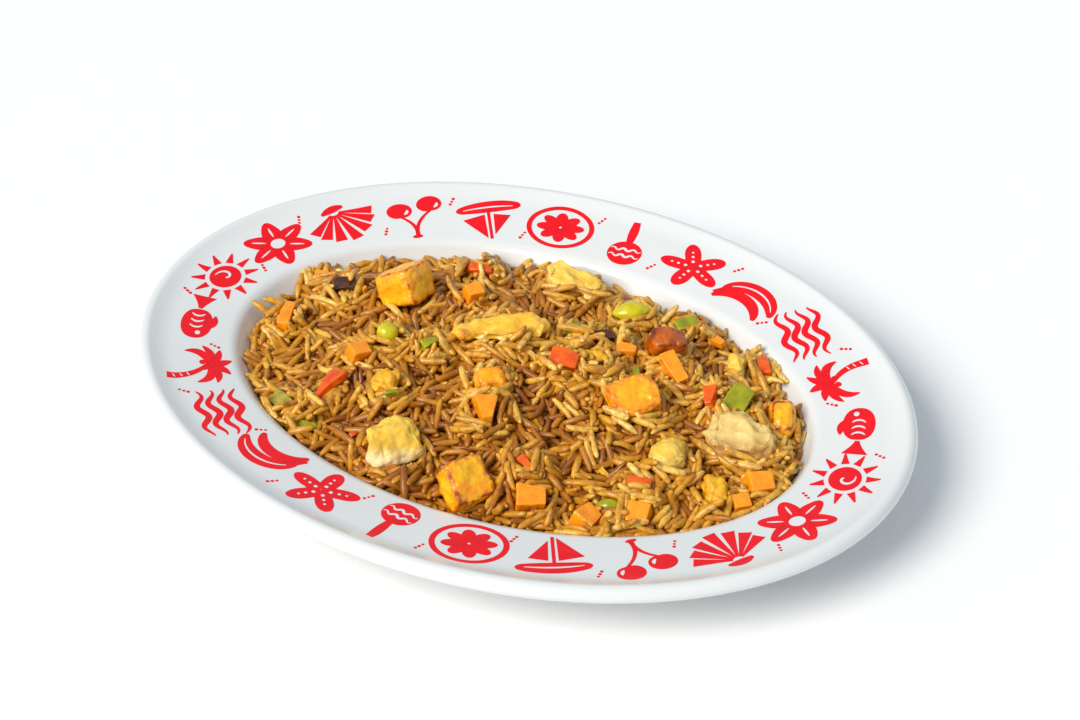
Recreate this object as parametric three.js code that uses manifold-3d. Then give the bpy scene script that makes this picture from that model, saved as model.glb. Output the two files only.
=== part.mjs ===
// An oval plate heaped with brown fried rice, with plantain, chicken and diced vegetables in it.
// Millimetres, +Z up. The origin is the centre of the plate's foot, on the table, and +X runs along the
// plate's length. The plate is one solid, the rice is one solid that fills the well and rises to a dome,
// and every topping as large as a berry is a solid of its own that sits in a pocket of the rice.
import * as THREE from "three";
import { mergeVertices } from "three/addons/utils/BufferGeometryUtils.js";
import Module from "manifold-3d";

// Plate
const PLATE_LENGTH = 306;
const PLATE_WIDTH = 233;
const PLATE_HEIGHT = 31;
const LIP_RADIUS = 3.3; // the round bead along the edge
const RIM_INNER = 34.5; // how far in from the edge the rim ends and the well begins
const RIM_OUTER = 9.5; // how far in from the edge the bead's foot is
const RIM_OUTER_Z = 27.6;
const RIM_INNER_Z = 24.4;
const WALL = 4.2; // thickness of the ware
const FLOOR_Z = 7; // the well's floor
const FLOOR_EDGE = 56; // how far in from the edge the floor is flat
const FOOT_OUTER = 52.5;
const FOOT_WIDTH = 3.5;
const FOOT_TOP = FLOOR_Z - WALL;
const PLATE_SIDES = 64;
const BEAD_FROM = 160; // the bead's arc in degrees, where 0 points outwards and 90 up
const BEAD_TO = -75;
const BEAD_STEPS = 6;

// The well's wall, as how far in from the rim's inner edge and the height: the shoulder where the rim turns
// down, and the heel where the wall turns out to the floor.
const SHOULDER = [[2.1, RIM_INNER_Z - 0.8], [3.8, RIM_INNER_Z - 2.8]];
const HEEL = [[9.8, FLOOR_Z + 3], [12.6, FLOOR_Z + 0.9]];

// The underside from the bead to the foot ring's inner side, as how far in from the edge and the height.
const UNDERSIDE = [
  [RIM_OUTER - 4, RIM_OUTER_Z - WALL],
  [RIM_INNER, RIM_INNER_Z - WALL],
  [RIM_INNER + 4.5, RIM_INNER_Z - WALL - 2.8],
  [RIM_INNER + 9.5, FOOT_TOP + 1.6],
  [FOOT_OUTER - 1.2, FOOT_TOP + 0.4],
  [FOOT_OUTER, 0],
  [FOOT_OUTER + FOOT_WIDTH, 0],
  [FOOT_OUTER + FOOT_WIDTH + 1.4, FOOT_TOP],
];

// Rice
const RICE_EDGE = 39.5; // how far in from the plate's edge the rice meets the well's wall
const RICE_EDGE_Z = 18.5;
const DOME_RISE = 14.5;
const DOME_POWER = 2.3; // a higher power makes a flatter top with steeper sides
const BROAD_SWELL = { height: 1.1, along: 17, across: 14, shiftX: 0.7, shiftY: -0.4 };
const SLANTED_SWELL = { height: 0.7, along: 9, across: 11 };
const GRAIN_LENGTH = 9.6;
const GRAIN_WIDTH = 2.7;
const GRAIN_SIDES = 5;
// A grain's half-width at places along it, as shares of its greatest half-width and of its half-length.
const GRAIN_SECTION = [[0, -1], [0.85, -0.6], [1, 0.1], [0.75, 0.7], [0, 1]];
const BUMP_SPACING = 4.65;
const BUMP_HEIGHT = 1.5;
const BUMP_TRIES = 26000;
const VALLEY_SPACING = 0.8 * BUMP_SPACING;
const VALLEY_CLEARANCE = 0.62 * BUMP_SPACING; // from the bumps
const VALLEY_DEPTH = 1.6;
const VALLEY_TRIES = 16000;
const SURFACE_MARGIN = 3; // how far past the rice's edge its surface is drawn, before it is cut to the well
const BORDER_MARGIN = 5; // of the ring of points round that surface
const BORDER_COUNT = 96;
const LOOSE_GRAINS = 24;
const LOOSE_LIFT = 1.7; // of their middles over the heap's mean surface
const LOOSE_TURNS = 5.236; // how often the row of loose grains goes round the plate
const GAP = 0.35; // clearance between neighbouring solids
const OPEN_HEIGHT = 60; // well above everything

// The rings of the plate are circles of the short half-width, pulled apart along X by this much each way,
// so that the rim is as wide at the ends as along the sides.
const HALF_WIDTH = PLATE_WIDTH / 2;
const PULL = (PLATE_LENGTH - PLATE_WIDTH) / 2;
const FLOOR_RADIUS = HALF_WIDTH - FLOOR_EDGE;

const wasm = await Module();
wasm.setup();

// ---------------------------------------------------------------- helpers

// A repeatable random number generator, 0 to 1.
function seeded(seed) {
  let state = seed >>> 0;
  return () => {
    state = (state + 0x6d2b79f5) >>> 0;
    let t = state;
    t = Math.imul(t ^ (t >>> 15), t | 1);
    t ^= t + Math.imul(t ^ (t >>> 7), t | 61);
    return ((t ^ (t >>> 14)) >>> 0) / 4294967296;
  };
}

// A closed geometry as a manifold-3d solid, for cutting and joining.
function solidOf(geometry) {
  const bare = new THREE.BufferGeometry().setAttribute("position", geometry.getAttribute("position"));
  if (geometry.index) bare.setIndex(geometry.index);
  const merged = mergeVertices(bare, 1e-3);
  return new wasm.Manifold(
    new wasm.Mesh({
      numProp: 3,
      vertProperties: new Float32Array(merged.attributes.position.array),
      triVerts: new Uint32Array(merged.index.array),
    }),
  );
}

function geometryOf(solid) {
  const mesh = solid.getMesh();
  const geometry = new THREE.BufferGeometry();
  geometry.setAttribute("position", new THREE.BufferAttribute(new Float32Array(mesh.vertProperties), 3));
  geometry.setIndex(new THREE.BufferAttribute(new Uint32Array(mesh.triVerts), 1));
  geometry.computeVertexNormals();
  return geometry;
}

// Moves every vertex of a geometry by a function of its place.
function reshape(geometry, move) {
  const position = geometry.attributes.position;
  const point = new THREE.Vector3();
  for (let i = 0; i < position.count; i++) {
    point.fromBufferAttribute(position, i);
    move(point);
    position.setXYZ(i, point.x, point.y, point.z);
  }
  position.needsUpdate = true;
  return geometry;
}

// Revolves a profile of [distance in from the plate's edge, height] pairs and pulls it out to the oval.
function ovalLathe(profile, sides) {
  const points = profile.map(([inset, z]) => new THREE.Vector2(Math.max(0, HALF_WIDTH - inset), z));
  const geometry = new THREE.LatheGeometry(points, sides).rotateX(Math.PI / 2);
  return reshape(geometry, (p) => {
    const radius = Math.hypot(p.x, p.y);
    if (radius > 0) p.x *= (radius + PULL * Math.min(1, radius / FLOOR_RADIUS)) / radius;
  });
}

// ---------------------------------------------------------------- plate

// Points of the bead's arc, from its upper inner side over the edge to its underside.
function beadArc() {
  return Array.from({ length: BEAD_STEPS + 1 }, (_, i) => {
    const angle = THREE.MathUtils.degToRad(BEAD_FROM + ((BEAD_TO - BEAD_FROM) * i) / BEAD_STEPS);
    const inset = LIP_RADIUS - LIP_RADIUS * Math.cos(angle);
    return [inset, PLATE_HEIGHT - LIP_RADIUS + LIP_RADIUS * Math.sin(angle)];
  });
}

// The well's wall and floor as seen from above, from the rim inwards, set in by a clearance.
function wellProfile(clearance) {
  const shoulder = SHOULDER.map(([inset, z]) => [RIM_INNER + inset + clearance, z]);
  const heel = HEEL.map(([inset, z]) => [RIM_INNER + inset + clearance, z + clearance]);
  return [...shoulder, ...heel, [FLOOR_EDGE, FLOOR_Z + clearance]];
}

function plateGeometry() {
  const well = [[HALF_WIDTH, FLOOR_Z], ...wellProfile(0).reverse()];
  const rim = [[RIM_INNER, RIM_INNER_Z], [RIM_OUTER, RIM_OUTER_Z], ...beadArc()];
  const profile = [...well, ...rim, ...UNDERSIDE, [HALF_WIDTH, FOOT_TOP]];
  return ovalLathe(profile.reverse(), PLATE_SIDES);
}

// ---------------------------------------------------------------- rice

// Height of the heap's mean surface: a dome over the well, with a few broad lumps.
function riceHeight(x, y) {
  const across = HALF_WIDTH - RICE_EDGE;
  const rho = Math.hypot(x / (across + PULL), y / across);
  const { height, along, across: between, shiftX, shiftY } = BROAD_SWELL;
  const broad = height * Math.sin(x / along + shiftX) * Math.cos(y / between + shiftY);
  const slanted = SLANTED_SWELL.height * Math.sin(x / SLANTED_SWELL.along - y / SLANTED_SWELL.across);
  const fade = Math.max(0, 1 - rho ** 4);
  return RICE_EDGE_Z + DOME_RISE * (1 - rho ** DOME_POWER) + (broad + slanted) * fade;
}

// Whether a place lies inside the oval of points that the heap's surface is drawn through.
function overRice(x, y, margin) {
  const across = HALF_WIDTH - RICE_EDGE + margin;
  return Math.hypot(x / (across + PULL), y / across) < 1;
}

// True where no point of a list lies within a distance of a place.
function isClear(points, x, y, distance) {
  return points.every((p) => (p.x - x) ** 2 + (p.y - y) ** 2 >= distance * distance);
}

// The surface points of the heap: each grain is a ridge of three points, and low points fill the gaps.
function grainPoints() {
  const random = seeded(11);
  const ridges = [];
  const length = HALF_WIDTH + PULL;
  const drop = () => [(random() * 2 - 1) * length, (random() * 2 - 1) * HALF_WIDTH];
  for (let tries = 0; tries < BUMP_TRIES; tries++) {
    const [x, y] = drop();
    const turn = random() * Math.PI;
    const reach = GRAIN_LENGTH * (0.27 + 0.1 * random());
    const grain = [-1, 0, 1].map((end) => ({
      x: x + end * reach * Math.cos(turn),
      y: y + end * reach * Math.sin(turn),
      lift: BUMP_HEIGHT * (end === 0 ? 1 : 0.5),
    }));
    const isFree = (p) => overRice(p.x, p.y, SURFACE_MARGIN) && isClear(ridges, p.x, p.y, BUMP_SPACING);
    if (grain.every(isFree)) ridges.push(...grain);
  }
  const valleys = [];
  for (let tries = 0; tries < VALLEY_TRIES; tries++) {
    const [x, y] = drop();
    const free = overRice(x, y, SURFACE_MARGIN) && isClear(ridges, x, y, VALLEY_CLEARANCE);
    if (free && isClear(valleys, x, y, VALLEY_SPACING)) valleys.push({ x, y, lift: -VALLEY_DEPTH });
  }
  return [...ridges, ...valleys].map((p) => ({ x: p.x, y: p.y, z: riceHeight(p.x, p.y) + p.lift }));
}

// An evenly spaced ring of points just outside the others, which gives the surface a convex border.
function borderPoints() {
  const across = HALF_WIDTH - RICE_EDGE + BORDER_MARGIN;
  return Array.from({ length: BORDER_COUNT }, (_, i) => {
    const angle = (i / BORDER_COUNT) * 2 * Math.PI;
    const x = (across + PULL) * Math.cos(angle);
    const y = across * Math.sin(angle);
    return { x, y, z: riceHeight(x, y) };
  });
}

// Delaunay triangles over points in plan, by adding one point at a time: the triangles whose circle holds
// the new point are taken out, and the hole is filled with a fan from it.
function triangulate(points) {
  const far = 4000;
  const all = [...points, { x: -far, y: -far }, { x: far, y: -far }, { x: 0, y: far }];
  const n = points.length;
  const circled = (a, b, c) => {
    const [p, q, r] = [all[a], all[b], all[c]];
    const d = 2 * (p.x * (q.y - r.y) + q.x * (r.y - p.y) + r.x * (p.y - q.y));
    const [pp, qq, rr] = [p, q, r].map((v) => v.x * v.x + v.y * v.y);
    const x = (pp * (q.y - r.y) + qq * (r.y - p.y) + rr * (p.y - q.y)) / d;
    const y = (pp * (r.x - q.x) + qq * (p.x - r.x) + rr * (q.x - p.x)) / d;
    return { corners: [a, b, c], x, y, reach: (p.x - x) ** 2 + (p.y - y) ** 2 };
  };
  let triangles = [circled(n, n + 1, n + 2)];
  points.forEach((point, index) => {
    const rim = new Map();
    const kept = [];
    for (const triangle of triangles) {
      if ((point.x - triangle.x) ** 2 + (point.y - triangle.y) ** 2 >= triangle.reach) {
        kept.push(triangle);
        continue;
      }
      triangle.corners.forEach((a, i) => {
        const b = triangle.corners[(i + 1) % 3];
        if (!rim.delete(`${b},${a}`)) rim.set(`${a},${b}`, [a, b]);
      });
    }
    for (const [a, b] of rim.values()) kept.push(circled(a, b, index));
    triangles = kept;
  });
  return triangles.map((t) => t.corners).filter((corners) => corners.every((c) => c < n));
}

// A solid from the surface points down to a flat base under the floor.
function heapSolid() {
  const points = [...grainPoints(), ...borderPoints()];
  const top = triangulate(points);
  const n = points.length;
  const position = [...points, ...points.map((p) => ({ ...p, z: 0 }))].flatMap((p) => [p.x, p.y, p.z]);
  const index = top.flatMap(([a, b, c]) => [a, b, c, a + n, c + n, b + n]);
  const edges = new Map();
  for (const [a, b, c] of top) {
    for (const [p, q] of [[a, b], [b, c], [c, a]]) {
      if (!edges.delete(`${q},${p}`)) edges.set(`${p},${q}`, [p, q]);
    }
  }
  for (const [p, q] of edges.values()) index.push(p, p + n, q, q, p + n, q + n);
  const geometry = new THREE.BufferGeometry();
  geometry.setAttribute("position", new THREE.Float32BufferAttribute(position, 3));
  geometry.setIndex(index);
  return solidOf(geometry);
}

// One grain: a few-sided spindle along its own Z.
function grainGeometry(length, width) {
  const points = GRAIN_SECTION.map(([r, z]) => new THREE.Vector2((r * width) / 2, (z * length) / 2));
  return new THREE.LatheGeometry(points, GRAIN_SIDES).rotateX(Math.PI / 2);
}

// Grains that lie on the heap at all angles, half sunk in it, most of them near its edge.
function looseGrains() {
  const random = seeded(5);
  const grains = [];
  const across = HALF_WIDTH - RICE_EDGE;
  for (let i = 0; i < LOOSE_GRAINS; i++) {
    const around = (i / LOOSE_GRAINS) * 2 * Math.PI * LOOSE_TURNS;
    const rho = Math.min(0.97, 0.2 + Math.sqrt(random()) * 0.85);
    const x = rho * (across + PULL) * Math.cos(around);
    const y = rho * across * Math.sin(around);
    const tilt = THREE.MathUtils.degToRad(62 + 22 * random());
    const turn = new THREE.Euler(0, tilt, random() * 2 * Math.PI, "ZYX");
    const place = new THREE.Matrix4().makeRotationFromEuler(turn);
    place.setPosition(x, y, riceHeight(x, y) + LOOSE_LIFT);
    const grain = grainGeometry(GRAIN_LENGTH * (0.9 + 0.2 * random()), GRAIN_WIDTH);
    grains.push(solidOf(grain.applyMatrix4(place)));
  }
  return grains;
}

// The space inside the well that the rice may fill, open upwards.
function wellSpace() {
  const wall = wellProfile(GAP).reverse();
  const [mouth] = wall.at(-1);
  const profile = [[HALF_WIDTH, FLOOR_Z + GAP], ...wall, [mouth, OPEN_HEIGHT], [HALF_WIDTH, OPEN_HEIGHT]];
  return solidOf(ovalLathe(profile, PLATE_SIDES));
}

// The heap with its loose grains, cut to the well, with a pocket for each topping. The largest piece is
// the rice, and scraps that the pockets cut off are dropped.
function riceGeometry(pockets) {
  const heaped = wasm.Manifold.union([heapSolid(), ...looseGrains()]);
  const cut = heaped.intersect(wellSpace()).subtract(wasm.Manifold.union(pockets));
  const pieces = cut.decompose().sort((a, b) => b.volume() - a.volume());
  return geometryOf(pieces[0]);
}

// ---------------------------------------------------------------- toppings

// Pushes the surface of a piece in and out by a smooth lump pattern, a share of its own size.
function lump(point, amount, seed) {
  const broad = Math.sin(point.x * 2.7 + seed) * Math.cos(point.y * 3.1 - seed * 1.7);
  const fine = 0.6 * Math.sin(point.z * 4.1 + seed * 2.3);
  point.multiplyScalar(1 + amount * (broad + fine));
}

// A chunk with rounded edges: the points of a box are drawn in towards a superellipsoid.
function chunk(roundness, lumps) {
  return (seed) =>
    reshape(new THREE.BoxGeometry(2, 2, 2, 2, 2, 2), (p) => {
      const sum = [p.x, p.y, p.z].reduce((total, value) => total + Math.abs(value) ** roundness, 0);
      p.divideScalar(sum ** (1 / roundness));
      lump(p, lumps, seed);
    });
}

// A torn piece of meat: a ball drawn part of the way out to a cube, with crags, narrower towards one end.
function torn(detail, squareness, lumps, taper = 0) {
  return (seed) =>
    reshape(new THREE.IcosahedronGeometry(1, detail), (p) => {
      p.divideScalar(Math.max(Math.abs(p.x), Math.abs(p.y), Math.abs(p.z)) ** squareness);
      lump(p, lumps, seed);
      const narrowed = 1 - taper * (0.5 - 0.5 * p.x);
      p.y *= narrowed;
      p.z *= narrowed;
    });
}

const CORNER_SHIFT = 0.08; // how uneven a dice's corners are, as a share of its size

// A knife-cut dice whose top is smaller than its base and whose corners are uneven.
function dice(taper) {
  return (seed) =>
    reshape(new THREE.BoxGeometry(2, 2, 2), (p) => {
      p.x *= p.z > 0 ? 1 - taper * 0.5 : 1;
      p.y *= p.x > 0 ? 1 - taper : 1;
      p.x *= 1 + CORNER_SHIFT * Math.sin(seed + 3 * p.y + p.z);
      p.y *= 1 + CORNER_SHIFT * Math.cos(seed * 1.3 + 2 * p.x - p.z);
    });
}

// A slice of a hollow vegetable: a slab that bends along its length and may narrow to a point.
function slice(bend, taper) {
  return () =>
    reshape(new THREE.BoxGeometry(2, 2, 2, 4, 1, 1), (p) => {
      const along = p.x;
      p.y *= 1 - taper * (0.5 + 0.5 * along);
      p.z -= bend * along * along;
    });
}

// A pea, or a bean that narrows towards both ends.
function seedBall(pointed) {
  return () =>
    reshape(new THREE.IcosahedronGeometry(1, 1), (p) => {
      const narrowed = 1 - pointed * p.x * p.x;
      p.y *= narrowed;
      p.z *= narrowed;
    });
}

const COLOURS = {
  plate: new THREE.MeshStandardMaterial({ color: 0xf1f4f4, roughness: 0.16, metalness: 0 }),
  rice: new THREE.MeshStandardMaterial({ color: 0xa9742f, roughness: 0.45, metalness: 0 }),
  plantain: new THREE.MeshStandardMaterial({ color: 0xe79a1c, roughness: 0.4, metalness: 0 }),
  plantain_dark: new THREE.MeshStandardMaterial({ color: 0x9a4a18, roughness: 0.4, metalness: 0 }),
  egg: new THREE.MeshStandardMaterial({ color: 0xe0a829, roughness: 0.5, metalness: 0 }),
  chicken: new THREE.MeshStandardMaterial({ color: 0xdcc07a, roughness: 0.5, metalness: 0 }),
  carrot: new THREE.MeshStandardMaterial({ color: 0xf08a1e, roughness: 0.35, metalness: 0 }),
  red_pepper: new THREE.MeshStandardMaterial({ color: 0xd8401c, roughness: 0.3, metalness: 0 }),
  green_pepper: new THREE.MeshStandardMaterial({ color: 0x86a51c, roughness: 0.3, metalness: 0 }),
  pea: new THREE.MeshStandardMaterial({ color: 0xb4c422, roughness: 0.3, metalness: 0 }),
  onion: new THREE.MeshStandardMaterial({ color: 0x4d2c1c, roughness: 0.35, metalness: 0 }),
};

// Each topping: its name, what it is made of, its form, where it lies on the plate, how far its middle is
// above the rice, its length, width and height, and how it is turned about Z, tipped about Y and leaned
// about X, in degrees.
const TOPPINGS = [
  ["plantain_back", "plantain", chunk(6, 0.03), [-62.3, 23.5], 3.2, [18, 17.5, 15], 83, 14, -31],
  ["plantain_front", "plantain", chunk(7, 0.03), [12.8, -64.6], 2.3, [16.8, 17.2, 11], 62, 6, 34],
  ["plantain_middle", "plantain", chunk(8, 0.05), [48.5, -1.5], 2.5, [17, 15.5, 8], 52, -8, 16],
  ["plantain_right", "plantain", chunk(3, 0.04), [97.3, 23.8], 1.2, [10, 16, 11.5], 24, 4, 18],
  ["plantain_charred", "plantain_dark", chunk(4, 0.06), [44.5, 35.5], 2.6, [13.5, 11, 12], 36, 8, 12],
  ["plantain_left_bit", "egg", chunk(3, 0.07), [-37.6, -34.1], 1.8, [9, 9.5, 7], 20, 0, 20],
  ["plantain_centre_bit", "plantain", chunk(4, 0.05), [-2.6, -17.8], 1.2, [11, 8.5, 6.5], 40, 0, 20],
  ["egg_front_right", "egg", chunk(3, 0.07), [92.5, -25], 1, [9, 12.5, 8], 28, 0, 25],
  ["chicken_front_left", "chicken", torn(2, 0.18, 0.07), [-20, -59.4], 2.5, [21, 20, 14.5], 50, 0, 26],
  ["chicken_right", "chicken", torn(2, 0.5, 0.08), [89.5, 3.2], 2.6, [24, 17.5, 8.5], 18, 4, 18],
  ["chicken_front_right", "chicken", torn(2, 0.2, 0.05), [71.8, -20.6], 1.8, [14.4, 12.8, 10], 30, 0, 15],
  ["chicken_strip_middle", "chicken", torn(2, 0.5, 0.05, 0.45), [-13.4, 10.2], 2.5, [35, 12.5, 10], 33, 0, 12],
  ["chicken_strip_back", "chicken", torn(2, 0.5, 0.08, -0.3), [-7, 61], 2.6, [25, 8.5, 7], -4, 8, 10],
  ["chicken_far_right", "chicken", torn(1, 0.5, 0.05), [71.5, 40.5], 2, [6.6, 8.4, 11], 12, 0, 10],
  ["carrot_left", "carrot", dice(0.15), [-56, -23], 1.8, [8.5, 6.5, 6], 60, 12, 14],
  ["carrot_centre", "carrot", dice(0.6), [3.3, -31.4], 1.6, [14, 9, 6], -58, 18, -8],
  ["carrot_front_left", "carrot", dice(0.12), [36.5, -60], 1.6, [10.5, 8.5, 7], 30, 6, 24],
  ["carrot_front", "carrot", dice(0.1), [57.6, -58.2], 1, [8.5, 8, 7.5], 82, 6, 20],
  ["carrot_front_mid", "carrot", dice(0.15), [73.4, -48.2], 0.8, [8.5, 8.2, 8.2], 12, 0, 26],
  ["carrot_front_right", "carrot", dice(0.25), [104.6, -13], 2.4, [10.8, 8.6, 7], 40, 4, 24],
  ["carrot_corner", "carrot", dice(0.1), [102.4, -24.6], 1.8, [7, 6, 6], 40, 0, 18],
  ["carrot_wedge", "carrot", dice(0.1), [53.8, 22.5], 3.6, [14.5, 6, 5.5], -34, 20, 8],
  ["carrot_sliver", "carrot", dice(0.5), [71, 17.5], 2.2, [10, 5.5, 4], -70, 20, 20],
  ["carrot_left_edge", "carrot", dice(0.2), [-97.6, -9], 1.8, [13, 4.8, 5], 105, -8, 8],
  ["carrot_back", "carrot", dice(0.1), [-36, 31], 1.6, [7, 6.5, 5.5], 55, 4, 14],
  ["red_left", "red_pepper", slice(0.4, 0.8), [-59, -41], 1.8, [15.5, 8, 3.2], 262, 14, 14],
  ["red_middle", "red_pepper", slice(0.7, 0.3), [17, 4], 2, [11, 9, 3.4], 10, 0, 26],
  ["red_front", "red_pepper", slice(0.5, 0.25), [68.4, -37.4], 1.6, [8.5, 6.5, 3.2], 20, 0, 26],
  ["red_right", "red_pepper", slice(0.6, 0.2), [78.4, 50.4], 4, [10.5, 5, 3.2], 122, 0, -6],
  ["red_back", "red_pepper", slice(0.5, 0.4), [-44, 50.5], 2, [10, 4.8, 3], 12, 0, 14],
  ["pea", "pea", seedBall(0), [-51, -10], 3, [8.4, 8.4, 8.4], 0, 0, 0],
  ["bean_back", "pea", seedBall(0.45), [22, 52], 3, [15, 9, 7.2], 38, 0, 12],
  ["bean_front", "pea", seedBall(0.45), [62.9, -50.2], 1.7, [9.8, 5.2, 4.8], 24, 0, 12],
  ["pepper_back_right", "green_pepper", slice(0.3, 0), [43, 57.5], 2.6, [9.5, 5.5, 4], 46, 0, 16],
  ["pepper_right", "green_pepper", slice(0.4, 0.15), [80.5, 21.5], 2.8, [12.5, 9.5, 5], 84, -22, 14],
  ["pepper_left", "green_pepper", slice(0.5, 0.1), [-72.6, -52.4], 1.8, [9, 7, 3.4], -16, 8, 14],
  ["pepper_left_low", "green_pepper", slice(0.5, 0.3), [-57.2, -60.6], 1.4, [9, 5.2, 3.2], 20, 0, 14],
  ["onion_green", "green_pepper", slice(0.7, 0.2), [11, 25.5], 2.4, [9.5, 4.2, 3], 8, 0, 14],
  ["onion_brown", "onion", slice(0.5, 0.1), [-86.4, 16.8], 2, [10, 7, 3.6], 34, 0, 8],
  ["egg_curl", "egg", slice(0.9, 0.3), [26.4, 12], 1.8, [8.5, 4.6, 3], 16, 0, 20],
  ["onion_dark", "onion", slice(0.5, 0.2), [22, 27.5], 2, [8.5, 5, 3], 40, 0, 12],
  ["pepper_middle", "green_pepper", slice(0.4, 0.5), [-34, -7], 2, [7, 4.5, 3], 60, 0, 12],
  ["red_small", "red_pepper", slice(0.4, 0.4), [28, -48], 1.8, [7, 4, 3], -30, 0, 16],
  ["carrot_back_left", "carrot", dice(0.2), [-101.5, 23.5], 1.6, [6, 4.5, 4], 30, 0, 10],
];

// The matrix that puts a topping of unit half-size where it lies, grown on every side by a margin.
function toppingMatrix([, , , [x, y], lift, size, turn, tip, lean], margin) {
  const [rz, ry, rx] = [turn, tip, lean].map(THREE.MathUtils.degToRad);
  const half = new THREE.Vector3(...size).multiplyScalar(0.5).addScalar(margin);
  const rotation = new THREE.Quaternion().setFromEuler(new THREE.Euler(rx, ry, rz, "ZYX"));
  return new THREE.Matrix4().compose(new THREE.Vector3(x, y, riceHeight(x, y) + lift), rotation, half);
}

function toppingSolid(topping, index, margin) {
  const form = topping[2](index);
  return solidOf(form.applyMatrix4(toppingMatrix(topping, margin)));
}

function meshOf(name, geometry, colour) {
  const mesh = new THREE.Mesh(geometry, COLOURS[colour]);
  mesh.name = name;
  return mesh;
}

// ---------------------------------------------------------------- the whole

const plateOfRice = new THREE.Group();
plateOfRice.add(meshOf("plate", plateGeometry(), "plate"));
plateOfRice.add(meshOf("rice", riceGeometry(TOPPINGS.map((t, i) => toppingSolid(t, i, GAP))), "rice"));
TOPPINGS.forEach((topping, i) => {
  plateOfRice.add(meshOf(topping[0], geometryOf(toppingSolid(topping, i, 0)), topping[1]));
});

export default plateOfRice;
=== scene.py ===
"""The looks of an oval plate of brown fried rice with plantain, chicken and diced vegetables in it.

Shapes are worked out in millimetres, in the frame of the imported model, and become metres when a mesh is
made. The plate's rings, the heap's height and the toppings' turns repeat the solids' own formulas, and
each topping is centred on its node's box.
"""

import bpy
import numpy as np
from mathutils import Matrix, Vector


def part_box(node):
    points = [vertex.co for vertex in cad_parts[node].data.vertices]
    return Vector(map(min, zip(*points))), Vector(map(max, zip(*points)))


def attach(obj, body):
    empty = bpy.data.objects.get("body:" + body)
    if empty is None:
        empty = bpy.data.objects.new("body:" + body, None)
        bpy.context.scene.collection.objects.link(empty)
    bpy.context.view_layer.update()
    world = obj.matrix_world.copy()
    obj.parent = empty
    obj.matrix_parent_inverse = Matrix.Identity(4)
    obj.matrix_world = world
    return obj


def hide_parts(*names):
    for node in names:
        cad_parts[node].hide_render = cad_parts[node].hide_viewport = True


MM = 0.001

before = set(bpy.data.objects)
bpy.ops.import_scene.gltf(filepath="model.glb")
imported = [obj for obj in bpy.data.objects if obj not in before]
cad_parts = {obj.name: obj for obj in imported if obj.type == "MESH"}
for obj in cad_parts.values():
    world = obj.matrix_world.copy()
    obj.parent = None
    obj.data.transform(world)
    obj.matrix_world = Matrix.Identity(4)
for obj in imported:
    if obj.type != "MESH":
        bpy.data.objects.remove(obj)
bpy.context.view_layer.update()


def box_mm(node):
    """A node's lowest and highest corner, in millimetres."""
    return tuple(np.array(corner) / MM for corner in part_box(node))


# Plate: the insets are distances in from the plate's edge, seen from above.
PLATE_HIGH = box_mm("plate")[1]
HALF_WIDTH = PLATE_HIGH[1]
PULL = PLATE_HIGH[0] - HALF_WIDTH
BEAD_RADIUS = 3.3
RIM_OUTER, RIM_OUTER_Z = 9.5, 28.3
RIM_INNER, RIM_INNER_Z = 34.5, 24.4
WALL = 4.2
FLOOR_Z = 7.0
FLOOR_EDGE = 56.0
FOOT_OUTER, FOOT_WIDTH = 52.5, 3.5
RINGS_ROUND = 220

# Rice
RICE_EDGE, RICE_EDGE_Z = 39.5, 18.5
DOME_RISE, DOME_POWER = 14.5, 2.3
HEAP_FRONT = 77.0  # how far the heap reaches towards its front
RICE_DEPTH = 9.0  # of loose grains over the core

# Core
CORE_EDGE, CORE_FOOT_EDGE, CORE_FOOT_Z = 45.5, 48.5, FLOOR_Z + 0.6
CORE_RINGS, CORE_SPOKES = 80, 300
CORE_CELL, CORE_REACH = 0.8, (122, 86)  # of the grid that holds the core's surface
CORE_HOLLOW = 1.3  # either way at most, or nearly
CORE_UNDER, CORE_OVERLAP = 0.75, 0.5  # share of a topping's width that is borne, and how far it goes in
CORE_SLOPE = 1.3  # of the mound beside a topping

# Grains
GRAIN_COUNT = 3600
GRAIN_LENGTH, GRAIN_WIDTH = 12.4, 2.72
GRAIN_RINGS, GRAIN_SIDES = (-0.97, -0.84, -0.4, 0.4, 0.84, 0.97), 8
GRAIN_BLUNTNESS, GRAIN_BOW, GRAIN_FLATNESS = (2.5, 6.8), 0.085, 0.9
SHORT_SHARE, SHORT_LENGTH = 0.06, 0.6  # of the grains, and of their length
HEAP_ACROSS = HALF_WIDTH - RICE_EDGE + 0.5  # half the short way over the loose grains
SOFTNESS = 0.86  # the share of its width at which a grain starts to push another
BALLS = 5  # along each grain, for the settling
PAIR_REACH, PAIR_STEPS = 4.2, 6  # between balls that may touch, which are looked for every few steps
SETTLE_STEPS = 200
FALL, FALL_STEPS = 0.17, SETTLE_STEPS * 0.8  # millimetres in the first step, and less until the last
NEAR_TOPPING = 4.0  # past a topping's half-size, for balls that may touch it
NEAR_PLATE = 0.82  # of the way out to the heap's edge, from where on balls may touch the plate
PUSH_APART, PUSH_UP, PUSH_DOWN = 0.24, 0.5, 0.3  # shares of an overlap that one step takes away
PRESSED_ABOVE = 4.0  # the heap's mean surface, while the grains settle
LEFT_OUT_ABOVE = 4.6  # the heap's mean surface, once they have settled
RAISED_SHARE, RAISED_BELOW = 0.24, 0.6  # of the grains whose middles lie at most so far down
RAISED_LEAST, RAISED_MOST = 12, 42  # degrees
RAISED_ABOUT = 0.3  # of its length from a grain's middle to the point that it turns about
DARK_SHARE, BROWN_SHARE = 0.25, 0.35  # of the grains
TONE, TONE_DRIFT, TONE_SPREAD = 0.685, 0.07, 0.16  # the mean, over the plate, and from grain to grain
PAINTED_SHADE_DEPTH, PAINTED_SHADE_FRONT = 0.12, 0.42  # painted shade: how much darker for each millimetre down in the heap, and at its front
TONE_END, TONE_MOTTLING = 0.11, 0.07

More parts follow.
